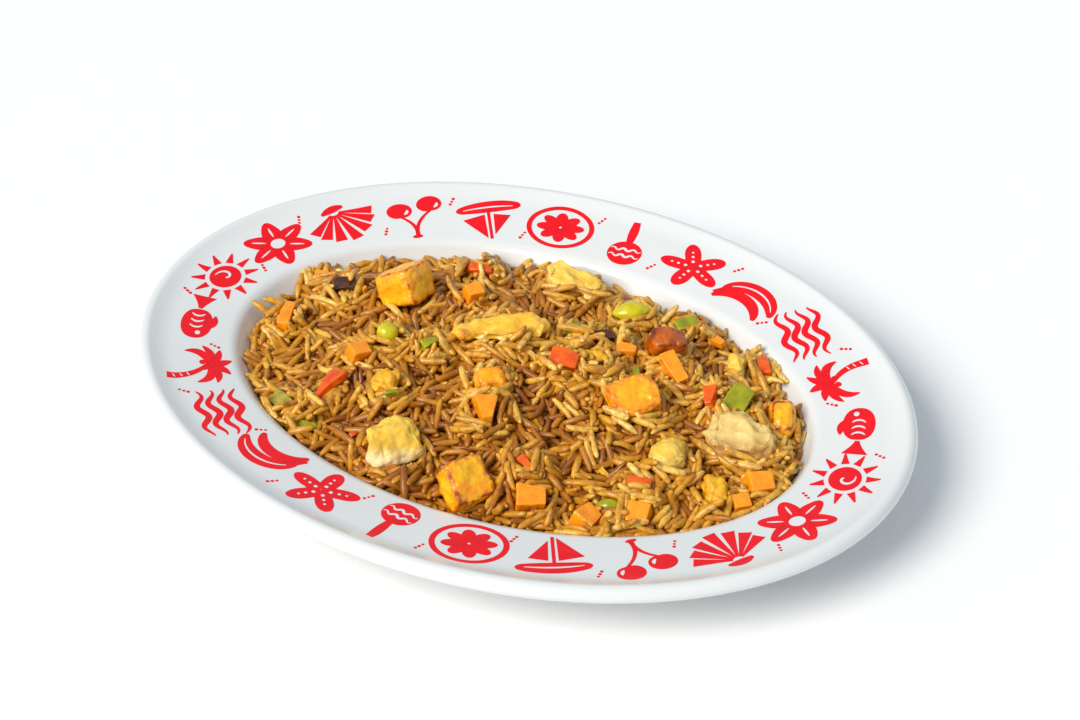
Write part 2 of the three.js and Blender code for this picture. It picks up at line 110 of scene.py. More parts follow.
# ---------------------------------------------------------------- meshes


def make_piece(name, points, faces, material, attributes=None):
    """A smooth piece that rides on the body, from points in millimetres and arrays of faces.

    attributes maps a name to an array with one number, or one vector, for each point.
    """
    mesh = bpy.data.meshes.new(name)
    mesh.vertices.add(len(points))
    mesh.vertices.foreach_set("co", (np.asarray(points) * MM).astype(np.float32).ravel())
    corners = np.concatenate([side.ravel() for side in faces]).astype(np.int32)
    sizes = np.concatenate([np.full(len(side), side.shape[1]) for side in faces])
    mesh.loops.add(len(corners))
    mesh.loops.foreach_set("vertex_index", corners)
    mesh.polygons.add(len(sizes))
    mesh.polygons.foreach_set("loop_start", (np.cumsum(sizes) - sizes).astype(np.int32))
    mesh.update(calc_edges=True)
    for label, values in (attributes or {}).items():
        kind, field = ("FLOAT", "value") if values.ndim == 1 else ("FLOAT_VECTOR", "vector")
        layer = mesh.attributes.new(label, kind, "POINT")
        layer.data.foreach_set(field, values.astype(np.float32).ravel())
    mesh.shade_smooth()
    mesh.materials.append(material)
    piece = bpy.data.objects.new(name, mesh)
    bpy.context.scene.collection.objects.link(piece)
    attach(piece, "root")
    return piece


def grid_faces(rows, columns, closed=False):
    """Quads between the points of a grid, row by row, joined round each row where it is closed."""
    across = columns if closed else columns - 1
    i, j = np.meshgrid(np.arange(rows - 1), np.arange(across), indexing="ij")
    here, beside = i * columns + j, i * columns + (j + 1) % columns
    return np.stack([here, beside, beside + columns, here + columns], -1).reshape(-1, 4)


def ring_faces(count, around, inside_out=False):
    """Quads between rings of points, and triangles to the two hubs that follow them, one for each end."""
    spoke, last = np.arange(around), (count - 1) * around
    beside = (spoke + 1) % around
    hub = np.full(around, count * around)
    quads = grid_faces(count, around, closed=True)
    first_fan = np.stack([hub, beside, spoke], -1)
    last_fan = np.stack([hub + 1, last + spoke, last + beside], -1)
    triangles = np.concatenate([first_fan, last_fan])
    return (quads[:, ::-1], triangles[:, [0, 2, 1]]) if inside_out else (quads, triangles)


def closed_rings(rings, first_hub, last_hub):
    """A closed surface from rings of points that go from its top's middle out to its underside's."""
    points = np.concatenate([rings.reshape(-1, 3), [first_hub, last_hub]])
    return points, ring_faces(*rings.shape[:2], inside_out=True)


def unit(vectors):
    """The vectors, each made one long."""
    return vectors / np.maximum(1e-9, np.linalg.norm(vectors, axis=-1, keepdims=True))


def norm_of(vectors, power):
    """A norm of each vector: its parts to a power are added up, and the root is taken of that."""
    return (np.abs(vectors) ** power).sum(1) ** (1 / power)


def cube_shell(squares):
    """Points on a cube from -1 to 1 with so many squares along each edge, and quads that face outwards."""
    widest = np.pi / 2 * 0.86  # so that the squares crowd a little towards the edges
    line = np.sin(np.linspace(-1, 1, squares + 1) * widest) / np.sin(widest)
    u, v = np.meshgrid(line, line, indexing="ij")
    sides = []
    for axis in range(3):
        for sign in (1, -1):
            side = np.empty(u.shape + (3,))
            side[..., axis] = sign
            side[..., (axis + 1) % 3] = u * sign
            side[..., (axis + 2) % 3] = v
            sides.append(side.reshape(-1, 3))
    quads = grid_faces(squares + 1, squares + 1)[:, ::-1]
    quads = np.concatenate([quads + i * len(sides[0]) for i in range(6)])
    points = np.concatenate(sides)
    _, first, same = np.unique(np.round(points * 1e5), axis=0, return_index=True, return_inverse=True)
    return points[first], same.reshape(-1)[quads]


def gather(index, vectors, count):
    """The sum of the vectors that belong to each of so many points."""
    return np.stack([np.bincount(index, vectors[:, i], count) for i in range(3)], -1)


def outward(points, quads):
    """A unit normal for each point: the mean of the quads round it, weighted by their area."""
    a, b, c, d = (points[quads[:, i]] for i in range(4))
    normal = np.cross(c - a, d - b)
    return unit(gather(quads.ravel(), np.repeat(normal, 4, axis=0), len(points)))


def ripple(points, size, seed, waves=16):
    """Smooth noise about -1 to 1: plane waves about size long, in seeded random directions, added up."""
    rng = np.random.default_rng(seed)
    direction = unit(rng.normal(size=(waves, points.shape[1])))
    pitch = 2 * np.pi / (size * rng.uniform(0.7, 1.5, waves))
    phase = rng.uniform(0, 2 * np.pi, waves)
    return np.sin(points @ (direction * pitch[:, None]).T + phase).sum(1) / np.sqrt(waves)


# ---------------------------------------------------------------- plate's form


def oval(inset, angle):
    """Plan of the ring at an inset: a circle whose ends are pulled apart along X, less near the middle."""
    radius = HALF_WIDTH - inset
    pull = PULL * np.minimum(1, radius / (HALF_WIDTH - FLOOR_EDGE))
    return (radius + pull) * np.cos(angle), radius * np.sin(angle)


def inset_of(x, y, halvings=14):
    """The inset of the ring that passes through a place, found by halving the range that holds it."""
    low, high = np.zeros_like(x), np.full_like(x, HALF_WIDTH - 0.5)
    for _ in range(halvings):
        middle = (low + high) / 2
        reach_x, reach_y = oval(middle, 0.0)[0], HALF_WIDTH - middle
        inside = np.hypot(x / reach_x, y / reach_y) < 1
        low, high = np.where(inside, middle, low), np.where(inside, high, middle)
    return low


def rounded(corners, steps=7):
    """A path through (inset, height, cut) corners, each one replaced by a curve between its two cuts."""
    place = np.array([corner[:2] for corner in corners], float)
    cut = np.array([corner[2] for corner in corners], float)
    ahead = unit(np.diff(place, axis=0))
    start = place[1:-1] - ahead[:-1] * cut[1:-1, None]
    end = place[1:-1] + ahead[1:] * cut[1:-1, None]
    t = np.linspace(0, 1, steps)[:, None, None]
    curves = start * (1 - t) ** 2 + place[1:-1] * 2 * t * (1 - t) + end * t**2
    return np.concatenate([place[:1], curves.transpose(1, 0, 2).reshape(-1, 2), place[-1:]])


def bead(from_degrees, to_degrees, steps):
    """The round bead's arc as (inset, height) points; 0 degrees points outwards and 90 up."""
    angle = np.radians(np.linspace(from_degrees, to_degrees, steps))
    middle = PLATE_HIGH[2] - BEAD_RADIUS
    return np.stack([BEAD_RADIUS * (1 - np.cos(angle)), middle + BEAD_RADIUS * np.sin(angle)], -1)


def ware_path():
    """The upper section, from the middle out to the bead, and the whole one, on round to the underside."""
    foot_top = FLOOR_Z - WALL
    top = rounded(
        [
            (HALF_WIDTH, FLOOR_Z, 0),
            (47.6, FLOOR_Z + 0.2, 6.5),
            (36.9, RIM_INNER_Z - 0.2, 2.8),
            (RIM_OUTER + 0.5, RIM_OUTER_Z - 0.1, 3.6),
            (*bead(118, 118, 1)[0], 0),
        ]
    )
    under = rounded(
        [
            (*bead(-80, -80, 1)[0], 0),
            (RIM_OUTER - 4, RIM_OUTER_Z - WALL, 1.2),
            (RIM_INNER, RIM_INNER_Z - WALL, 2.5),
            (44.6, foot_top + 1, 3),
            (FOOT_OUTER - 1, foot_top + 0.4, 0.7),
            (FOOT_OUTER, 0, 0.6),
            (FOOT_OUTER + FOOT_WIDTH, 0, 0.6),
            (FOOT_OUTER + FOOT_WIDTH + 1.2, foot_top, 0.8),
            (HALF_WIDTH, foot_top, 0),
        ]
    )
    return top, np.concatenate([top, bead(112, -70, 24), under])


def rim_height(inset):
    """Height of the plate's upper face at an inset."""
    top = ware_path()[0]
    order = np.argsort(top[:, 0], kind="stable")
    return np.interp(inset, top[order, 0], top[order, 1])


def revolve(path, around):
    """A closed surface from a path that begins and ends on the axis, carried round the oval's rings."""
    angle = np.linspace(0, 2 * np.pi, around, endpoint=False)
    x, y = oval(path[1:-1, :1], angle)
    z = np.broadcast_to(path[1:-1, 1:], x.shape)
    return closed_rings(np.stack([x, y, z], -1), (0, 0, path[0, 1]), (0, 0, path[-1, 1]))


def make_plate(material):
    points, faces = revolve(ware_path()[1], RINGS_ROUND)
    plate = make_piece("plate_ware", points, faces, material)
    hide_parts("plate")


# ---------------------------------------------------------------- border print
# Each motif is a list of (colour, patch) pairs. A patch is a flat grid of points about the motif's own
# centre, in millimetres, with +Y towards the middle of the plate.


def spot(centre, size, lobes=lambda angle: 1.0, turn=0.0, squares=14):
    """A filled shape whose edge is size times lobes(angle): a square grid is drawn out to a disc."""
    line = np.linspace(-1, 1, squares + 1)
    u, v = np.meshgrid(line, line, indexing="ij")
    reach = np.maximum(np.abs(u), np.abs(v))
    angle = np.arctan2(v, u)
    x = reach * lobes(angle) * np.cos(angle) * np.broadcast_to(size, 2)[0]
    y = reach * lobes(angle) * np.sin(angle) * np.broadcast_to(size, 2)[1]
    c, s = np.cos(turn), np.sin(turn)
    return np.stack([centre[0] + c * x - s * y, centre[1] + s * x + c * y], -1)


def streak(route, width, steps=24):
    """A band along route(t) for t from 0 to 1, as wide to each side as width(t)."""
    t = np.linspace(0, 1, steps)
    middle = np.stack(route(t), -1)
    along = np.gradient(middle, axis=0)
    side = np.stack([-along[:, 1], along[:, 0]], -1)
    side /= np.maximum(1e-6, np.linalg.norm(along, axis=1))[:, None]
    reach = side * np.broadcast_to(width(t), t.shape)[:, None]
    return np.stack([middle - reach, middle, middle + reach], 1)


def line_between(a, b, bow=0.0):
    """A route from a to b that bows to its left by so much of its length."""
    a, b = np.array(a, float), np.array(b, float)
    left = np.array([a[1] - b[1], b[0] - a[0]])

    def route(t):
        path = a + (b - a) * t[:, None] + left * (bow * 4 * t * (1 - t))[:, None]
        return path[:, 0], path[:, 1]

    return route


def stroke(a, b, width, bow=0.0, steps=24):
    """A band from a to b."""
    return streak(line_between(a, b, bow), width, steps)


def at(angle, radius, centre=(0, 0)):
    """The place at an angle and a distance from a centre."""
    return centre[0] + radius * np.cos(angle), centre[1] + radius * np.sin(angle)


def arc(centre, radius, start, end, width, steps=24):
    """A band along a circle from one angle to another."""
    return streak(lambda t: at(start + (end - start) * t, radius, centre), width, steps)


def waving(reach, level, height, waves, width, steps, shift=0.0):
    """A band from -reach to reach that waves about a level."""

    def route(t):
        return reach * (2 * t - 1), level + height * np.sin(2 * np.pi * (waves * t + shift))

    return streak(route, width, steps)


def tapered(thick, thin=0.15, power=0.8):
    """A width that swells from thin to thick and back, as a half wave to a power."""
    return lambda t: thin + (thick - thin) * np.sin(np.pi * t) ** power


def narrowing(start, end, power=1.0):
    """A width that goes from one value to another."""
    return lambda t: start + (end - start) * t**power


def ring_of(count, start=0.0):
    """So many angles spread evenly round a turn."""
    return start + np.arange(count) * 2 * np.pi / count


def red(*patches):
    return [("red", patch) for patch in patches]


def white(*patches):
    return [("white", patch) for patch in patches]


def sun_motif():
    rays = [stroke(at(a, 6.2), at(a, 10.4), narrowing(1.25, 0.25), steps=6) for a in ring_of(11, 0.2)]
    curl = streak(lambda t: at(0.9 + t * 4.2, 2.9 * t + 0.3), tapered(0.42), 30)
    return red(*rays, spot((0, 0), 4.9)) + white(curl)


def palm_motif():
    crown = (-0.6, 3.2)
    route = line_between((2.6, -10.4), crown, -0.12)
    rings_at = np.stack(route(np.array([0.14, 0.3, 0.46])), -1)
    rings = [spot(place, (0.8, 0.2), turn=0.3, squares=4) for place in rings_at]
    fronds = []
    ways = (-0.5, 0.3), (0.25, 0.2), (0.95, 0.1), (1.65, -0.05), (2.3, -0.12), (2.95, -0.22), (3.7, -0.3)
    for k, (angle, bow) in enumerate(ways):
        tip = at(angle, 9.0 - 0.25 * abs(k - 3), (-0.6, 2.2))
        fronds.append(stroke(crown, tip, tapered(1.35), bow))
    nuts = [spot(place, 1.0, squares=6) for place in ((-1.9, 2.0), (0.7, 1.9))]
    return red(streak(route, narrowing(1.35, 0.65)), *fronds, *nuts) + white(*rings)


def fish_motif():
    body = spot((1.2, 0), (7.6, 4.3), lambda a: 1 - 0.16 * np.cos(2 * a) + 0.06 * np.cos(a))
    tail = stroke((-5.2, 0), (-10.6, 0.6), narrowing(0.7, 4.0, 1.4), steps=12)
    fin = stroke((3.4, 3.4), (-2.6, 5.4), tapered(1.3), -0.12)
    scales = [arc((-4.4 + 2.5 * k, 0), 2.6, -0.9, 0.9, tapered(0.34), 12) for k in range(3)]
    return red(body, tail, fin) + white(spot((5.6, 1.0), 0.85, squares=6), *scales)


def starfish_motif():
    arms = ring_of(5, np.pi / 2)
    body = spot((0, 0), 10.2, lambda a: 0.4 + 0.6 * np.abs(np.cos(2.5 * (a - arms[0]))) ** 1.6, squares=26)
    dots = [spot(at(a, r), 0.62 - 0.04 * r, squares=4) for a in arms for r in (2.4, 4.6, 6.6)]
    return red(body) + white(*dots)


def flower_motif():
    directions = ring_of(6, 0.3)
    petals = [spot(at(a, 5.8), (4.3, 2.9), lambda b: 1 + 0.08 * np.cos(3 * b), turn=a) for a in directions]
    veins = [stroke(at(a, 3.6), at(a, 8.0), tapered(0.32, 0.08), steps=8) for a in directions]
    return red(*petals, spot((0, 0), 1.45)) + white(*veins, spot((0, 0), 2.2))


def boat_motif():
    hull = stroke((-9.6, -4.4), (9.2, -4.4), tapered(2.7, 0.5, 0.45), -0.06)
    mast = stroke((0, -3.4), (0.3, 10.2), narrowing(0.45, 0.45), steps=8)
    sail = stroke((4.4, -1.0), (1.3, 9.6), narrowing(3.35, 0.05), steps=12)
    jib = stroke((-3.8, -1.0), (-0.9, 8.2), narrowing(2.55, 0.05), steps=12)
    return red(hull, mast, sail, jib) + white(stroke((-7.4, -4.6), (7.2, -4.6), tapered(0.34, 0.1), -0.05))


def banana_motif():
    start, end, ridge_start, ridge_end = np.radians((200, 345, 215, 325))
    front = arc((-0.6, 6.4), 9.3, start, end, tapered(2.8, 0.5, 0.7))
    back = arc((0.8, 10.6), 8.2, start, end, tapered(2.0, 0.5, 0.7))
    ridge = arc((-0.6, 6.4), 9.3, ridge_start, ridge_end, tapered(0.32, 0.1))
    return red(front, back, stroke((8.2, 3.9), (9.4, 7.0), narrowing(0.75, 0.65), steps=6)) + white(ridge)


def cherry_motif():
    places = ((-4.4, -5.0), (4.6, -3.6))
    fruit = [spot(place, 3.7, lambda a: 1 - 0.09 * np.exp(-((a - 1.6) ** 2) * 6)) for place in places]
    shine = [arc(place, 2.3, 2.1, 3.2, tapered(0.5, 0.1), 10) for place in places]
    ends = (((-4.2, -1.8), -0.12), ((4.4, -0.4), 0.12))
    stems = [stroke(end, (1.2, 9.4), narrowing(0.4, 0.65), bow) for end, bow in ends]
    return red(*fruit, *stems, spot((1.4, 9.7), (1.5, 0.8), squares=6)) + white(*shine)


def lemon_motif():
    rind = arc((0, 0), 9.2, 0, 2 * np.pi, narrowing(0.75, 0.75), 48)
    lobes = [spot(at(a, 4.7), (3.3, 1.75), lambda b: 1 - 0.3 * np.cos(b), turn=a) for a in ring_of(8, 0.2)]
    return red(rind, *lobes)


def wave_motif():
    return red(*[waving(10, -5.6 + 3.7 * k, 1.25, 2.2, tapered(1.05, 0.2), 44, 0.12 * k) for k in range(4)])


def shell_motif():
    ribs = []
    for k, angle in enumerate(np.radians(np.linspace(32, 148, 7))):
        foot, tip = (at(angle, radius, (0, -7)) for radius in (1.6, 15.2 - 1.2 * abs(k - 3)))
        ribs.append(stroke(foot, tip, narrowing(0.35, 1.8, 1.2), steps=12))
    return red(*ribs, stroke((-3.6, -7.6), (3.6, -7.6), tapered(1.5, 0.4), -0.1))


def shaker_motif():
    grip = stroke((0, -1.0), (0.2, -10.4), lambda t: 1.0 + 0.35 * np.sin(np.pi * t))
    bands = [waving(4.4, level, 0.55, 3, tapered(0.42, 0.1), 30) for level in (3.0, 6.0)]
    return red(spot((0, 4.6), (5.0, 5.6)), grip) + white(*bands)


MOTIFS = (
    sun_motif, fish_motif, palm_motif, wave_motif, banana_motif, starfish_motif,
    shaker_motif, lemon_motif, boat_motif, cherry_motif, shell_motif, flower_motif,
)
MOTIF_COUNT = 24
MOTIF_STRETCH = (1.42, 1.2)  # along the rim and across it
MOTIF_TURN = 0.22  # either way at most, in radians
PRINT_INSET = 21.4  # of the motifs' centres, in from the plate's edge
DOT_SIDES = (-8.6, 7.8)  # the dots' distances from the middle line, in turn
DOT_STEP, DOT_SIZE = 1.5, 0.62
PRINT_HEIGHT = {"red": 0.10, "white": 0.16}
PRINT_DEPTH = 0.25


def evenly_round(count, inset):
    """Angles that space so many places evenly along the ring at an inset."""
    angle = np.linspace(0, 2 * np.pi, 2000)
    x, y = oval(inset, angle)
    length = np.concatenate([[0], np.cumsum(np.hypot(np.diff(x), np.diff(y)))])
    return np.interp(np.arange(count) / count * length[-1], length, angle)


def on_rim(patch, angle, inset, turn, lift):
    """A flat patch laid on the rim, its +Y towards the middle of the plate, turned and raised a little."""
    x0, y0 = oval(inset, angle)
    inner = np.array(oval(inset + 1.0, angle)) - (x0, y0)
    towards = inner / np.linalg.norm(inner)
    along = np.array([towards[1], -towards[0]])
    c, s = np.cos(turn), np.sin(turn)
    u, v = c * patch[..., 0] - s * patch[..., 1], s * patch[..., 0] + c * patch[..., 1]
    x = x0 + u * along[0] + v * towards[0]
    y = y0 + u * along[1] + v * towards[1]
    return np.stack([x, y, rim_height(inset_of(x, y)) + lift], -1)


def facing_up(points, quads):
    """The quads with their corners in the order that makes them face up."""
    a, b, c = (points[quads[:, i]] for i in range(3))
    down = np.cross(b - a, c - b)[:, 2] < 0
    return np.where(down[:, None], quads[:, ::-1], quads)


def joined(patches):
    """Grids of points as one list of points, and their quads, facing up."""
    points, quads, count = [], [], 0
    for patch in patches:
        flat = patch.reshape(-1, 3)
        quads.append(facing_up(flat, grid_faces(*patch.shape[:2])) + count)
        points.append(flat)
        count += len(flat)
    return np.concatenate(points), np.concatenate(quads)


def make_print(materials):
    """Motifs evenly round the rim, with three dots between two of them, as one mesh for each colour."""
    rng = np.random.default_rng(4)
    layers = {"red": [], "white": []}
    for k, angle in enumerate(evenly_round(MOTIF_COUNT, PRINT_INSET)):
        turn = rng.uniform(-MOTIF_TURN, MOTIF_TURN)
        for colour, patch in MOTIFS[k % len(MOTIFS)]():
            laid = on_rim(patch * MOTIF_STRETCH, angle, PRINT_INSET, turn, PRINT_HEIGHT[colour])
            layers[colour].append(laid)
    between = evenly_round(MOTIF_COUNT * 2, PRINT_INSET)[1::2]
    for angle, side in zip(between, np.resize(DOT_SIDES, MOTIF_COUNT)):
        for step in (-DOT_STEP, 0.0, DOT_STEP):
            dot = spot((step * 0.5, step), DOT_SIZE + 0.1 * rng.uniform(-1, 1), squares=4)
            layers["red"].append(on_rim(dot, angle, PRINT_INSET + side, 0, PRINT_HEIGHT["red"]))
    for colour, patches in layers.items():
        points, quads = joined(patches)
        printed = make_piece("border_" + colour, points, [quads], materials[colour])
        depth = printed.modifiers.new("depth", "SOLIDIFY")
        depth.thickness = PRINT_DEPTH * MM
        depth.offset = -1
        printed.data.shade_flat()


# ---------------------------------------------------------------- toppings' forms


def rounded_cube(p, power):
    """A cube's points drawn in to a box with rounded edges, on which the norm of that power is 1."""
    return p / norm_of(p, power)[:, None]


def lumpy(p, amount, seed):
    """Each point drawn in or out by a smooth pattern, as a share of its distance from the middle."""
    x, y, z = p.T
    wave = np.sin(x * 2.7 + seed) * np.cos(y * 3.1 - seed * 1.7) + 0.6 * np.sin(z * 4.1 + seed * 2.3)
    return p * (1 + amount * wave)[:, None]


def chunk(roundness, lumps):
    """A box with rounded edges and lumps."""
    return lambda p, seed: lumpy(rounded_cube(p, roundness), lumps, seed)


def torn(squareness, lumps, taper=0.0):
    """A ball drawn part of the way out to a cube, with lumps, and narrower towards its -X end."""

    def form(p, seed):
        ball = unit(p)
        body = lumpy(ball / np.abs(ball).max(1, keepdims=True) ** squareness, lumps, seed)
        narrowed = 1 - taper * (0.5 - 0.5 * body[:, :1])
        return np.concatenate([body[:, :1], body[:, 1:] * narrowed], 1)

    return form


def dice(taper):
    """A cut cube: a rounded one whose eight corners are moved, and all else between them in proportion."""

    def form(p, seed):
        cube = rounded_cube(p, 16)
        moved = np.zeros_like(cube)
        for corner in np.array(np.meshgrid([-1, 1], [-1, 1], [-1, 1])).reshape(3, -1).T:
            x, y, z = corner
            x = x * (1 - taper * 0.5 if z > 0 else 1)
            y = y * (1 - taper if x > 0 else 1)
            x = x * (1 + 0.08 * np.sin(seed + 3 * y + z))
            y = y * (1 + 0.08 * np.cos(seed * 1.3 + 2 * x - z))
            share = ((1 + cube * corner) / 2).prod(1)
            moved += share[:, None] * (x, y, z)
        return moved

    return form


def slice_of(bend, taper):
    """A slab that bends down along its length and narrows towards one end."""

    def form(p, seed):
        x, y, z = rounded_cube(p, 9).T
        return np.stack([x, y * (1 - taper * (0.5 + 0.5 * x)), z - bend * x * x], -1)

    return form


def seed_ball(pointed):
    """A ball that narrows towards both ends of its X axis."""

    def form(p, seed):
        x, y, z = unit(p).T
        narrow = 1 - pointed * x**2
        return np.stack([x, y * narrow, z * narrow], -1)

    return form


# Fine relief of each kind, in millimetres, as a function of the places on a topping and a seed.


def wrinkled(p, seed):
    """Soft dents with fine wrinkles."""
    return 0.34 * ripple(p, 8, seed) + 0.15 * ripple(p, 2.8, seed + 50) + 0.07 * ripple(p, 1.2, seed + 90)


def lobed(p, seed):
    """Broad soft lobes, creases that come and go where a second noise crosses nought, and a ragged skin."""
    lobes = 0.8 * ripple(p, 13, seed) + 0.3 * ripple(p, 5.5, seed + 10)
    creases = -0.9 * np.exp(-((ripple(p, 14, seed + 20) / 0.13) ** 2))
    creases *= np.clip(ripple(p, 12, seed + 30), 0, 1)
    pits = -0.8 * np.maximum(0, ripple(p, 3.4, seed + 60) - 1.8)
    return lobes + creases + pits + 0.13 * ripple(p, 2.4, seed + 40) + 0.07 * ripple(p, 1.1, seed + 80)


def craggy(p, seed):
    """Slanted planes that meet in ridges, where noise crosses nought, and a crumbly skin."""
    broad = -1.5 * np.abs(ripple(p, 17, seed))
    narrow = -0.8 * np.abs(ripple(p, 7.5, seed + 9))
    return broad + narrow + 0.16 * ripple(p, 2.6, seed + 40) + 0.09 * ripple(p, 1.1, seed + 80)


def folded(p, seed):
    """Long slanted planes that meet in ridges along the piece, a few cross folds, and a ragged skin."""
    along = p * (0.45, 1, 1)
    planes = -1.9 * np.abs(ripple(along, 8, seed, 8)) - 0.9 * np.abs(ripple(p, 9, seed + 20, 8))
    folds = 0.3 * ripple(p, 7, seed + 30)
    return planes + folds + 0.16 * ripple(p, 2.4, seed + 40) + 0.06 * ripple(p, 1.0, seed + 80)


def curdled(p, seed):
    """Folded soft sheets with a fine grain."""
    folds = 0.75 * np.abs(ripple(p, 7, seed)) - 0.5 * np.exp(-((ripple(p, 6, seed + 20) / 0.2) ** 2))
    return folds + 0.2 * ripple(p, 2.6, seed + 60) + 0.08 * ripple(p, 1.2, seed + 90)


def sliced(p, seed):
    """Nearly flat faces with the faint waves of a knife."""
    return 0.10 * ripple(p, 6, seed) + 0.035 * ripple(p, 1.5, seed + 70)


def waved(p, seed):
    """A gently waved skin."""
    return 0.16 * ripple(p, 5, seed) + 0.04 * ripple(p, 1.6, seed + 30)


def dimpled(p, seed):
    """A taut skin with a few shallow dimples."""
    return -0.10 * np.maximum(0, ripple(p, 5, seed)) + 0.015 * ripple(p, 1.2, seed + 30)


# Each topping, in the order of the solids: name, finish, form, relief, squares along an edge, size, and its
# turn about Z, tip about Y and lean about X, in degrees. Its place in this list is its seed.
TOPPINGS = (
    ("plantain_back", "plantain_cube", chunk(6, 0.03), wrinkled, 40, (18, 17.5, 15), (83, 14, -31)),
    ("plantain_front", "plantain_seared", chunk(7, 0.03), wrinkled, 40, (16.8, 17.2, 11), (62, 6, 34)),
    ("plantain_middle", "plantain", chunk(8, 0.05), wrinkled, 40, (17, 15.5, 8), (52, -8, 16)),
    ("plantain_right", "plantain_seared", chunk(3, 0.04), wrinkled, 34, (10, 16, 11.5), (24, 4, 18)),
    ("plantain_charred", "plantain_charred", chunk(4, 0.06), wrinkled, 34, (13.5, 11, 12), (36, 8, 12)),
    ("plantain_left_bit", "egg", chunk(3, 0.07), curdled, 24, (9, 9.5, 7), (20, 0, 20)),
    ("plantain_centre_bit", "plantain", chunk(4, 0.05), wrinkled, 24, (11, 8.5, 6.5), (40, 0, 20)),
    ("egg_front_right", "egg", chunk(3, 0.07), curdled, 28, (9, 12.5, 8), (28, 0, 25)),
    ("chicken_front_left", "chicken", torn(0.18, 0.07), lobed, 44, (21, 20, 14.5), (50, 0, 26)),
    ("chicken_right", "chicken_browned", torn(0.5, 0.08), craggy, 44, (24, 17.5, 8.5), (18, 4, 18)),
    ("chicken_front_right", "chicken_sauced", torn(0.2, 0.05), lobed, 36, (14.4, 12.8, 10), (30, 0, 15)),
    ("chicken_strip_middle", "chicken_glazed", torn(0.5, 0.05, 0.45), folded, 44, (35, 12.5, 10),
     (33, 0, 12)),
    ("chicken_strip_back", "chicken_sauced", torn(0.5, 0.08, -0.3), folded, 36, (25, 8.5, 7), (-4, 8, 10)),
    ("chicken_far_right", "chicken", torn(0.5, 0.05), craggy, 26, (6.6, 8.4, 11), (12, 0, 10)),
    ("carrot_left", "carrot", dice(0.15), sliced, 20, (8.5, 6.5, 6), (60, 12, 14)),
    ("carrot_centre", "carrot", dice(0.6), sliced, 20, (14, 9, 6), (-58, 18, -8)),
    ("carrot_front_left", "carrot", dice(0.12), sliced, 20, (10.5, 8.5, 7), (30, 6, 24)),
    ("carrot_front", "carrot", dice(0.1), sliced, 20, (8.5, 8, 7.5), (82, 6, 20)),
    ("carrot_front_mid", "carrot", dice(0.15), sliced, 20, (8.5, 8.2, 8.2), (12, 0, 26)),
    ("carrot_front_right", "carrot", dice(0.25), sliced, 20, (10.8, 8.6, 7), (40, 4, 24)),
    ("carrot_corner", "carrot", dice(0.1), sliced, 20, (7, 6, 6), (40, 0, 18)),
    ("carrot_wedge", "carrot", dice(0.1), sliced, 20, (14.5, 6, 5.5), (-34, 20, 8)),
    ("carrot_sliver", "red_pepper", dice(0.5), sliced, 20, (10, 5.5, 4), (-70, 20, 20)),
    ("carrot_left_edge", "carrot", dice(0.2), sliced, 20, (13, 4.8, 5), (105, -8, 8)),
    ("carrot_back", "carrot", dice(0.1), sliced, 20, (7, 6.5, 5.5), (55, 4, 14)),
    ("red_left", "red_pepper", slice_of(0.4, 0.8), waved, 20, (15.5, 8, 3.2), (262, 14, 14)),
    ("red_middle", "red_pepper", slice_of(0.7, 0.3), waved, 20, (11, 9, 3.4), (10, 0, 26)),
    ("red_front", "red_pepper", slice_of(0.5, 0.25), waved, 20, (8.5, 6.5, 3.2), (20, 0, 26)),
    ("red_right", "red_pepper", slice_of(0.6, 0.2), waved, 20, (10.5, 5, 3.2), (122, 0, -6)),
    ("red_back", "red_pepper", slice_of(0.5, 0.4), waved, 20, (10, 4.8, 3), (12, 0, 14)),
    ("pea", "pea", seed_ball(0), dimpled, 20, (8.4, 8.4, 8.4), (0, 0, 0)),
    ("bean_back", "pea", seed_ball(0.45), dimpled, 20, (15, 9, 7.2), (38, 0, 12)),
    ("bean_front", "green_pepper", seed_ball(0.45), dimpled, 20, (9.8, 5.2, 4.8), (24, 0, 12)),
    ("pepper_back_right", "green_pepper", slice_of(0.3, 0), waved, 20, (9.5, 5.5, 4), (46, 0, 16)),
    ("pepper_right", "green_pepper", slice_of(0.4, 0.15), waved, 20, (12.5, 9.5, 5), (84, -22, 14)),
    ("pepper_left", "green_pepper_pale", slice_of(0.5, 0.1), waved, 20, (9, 7, 3.4), (-16, 8, 14)),
    ("pepper_left_low", "green_pepper", slice_of(0.5, 0.3), waved, 20, (9, 5.2, 3.2), (20, 0, 14)),
    ("onion_green", "green_pepper", slice_of(0.7, 0.2), waved, 20, (9.5, 4.2, 3), (8, 0, 14)),
    ("onion_brown", "onion", slice_of(0.5, 0.1), waved, 20, (10, 7, 3.6), (34, 0, 8)),
    ("egg_curl", "egg", slice_of(0.9, 0.3), curdled, 20, (8.5, 4.6, 3), (16, 0, 20)),
    ("onion_dark", "onion", slice_of(0.5, 0.2), waved, 20, (8.5, 5, 3), (40, 0, 12)),
    ("pepper_middle", "green_pepper", slice_of(0.4, 0.5), waved, 20, (7, 4.5, 3), (60, 0, 12)),
    ("red_small", "red_pepper", slice_of(0.4, 0.4), waved, 20, (7, 4, 3), (-30, 0, 16)),
    ("carrot_back_left", "carrot", dice(0.2), sliced, 20, (6, 4.5, 4), (30, 0, 10)),
)


SAUCED_SIDE = np.array([-0.15, 0.45, 0.88])  # the way that the darker, sauced side of the meat faces
CRUMB_SQUARES = 10

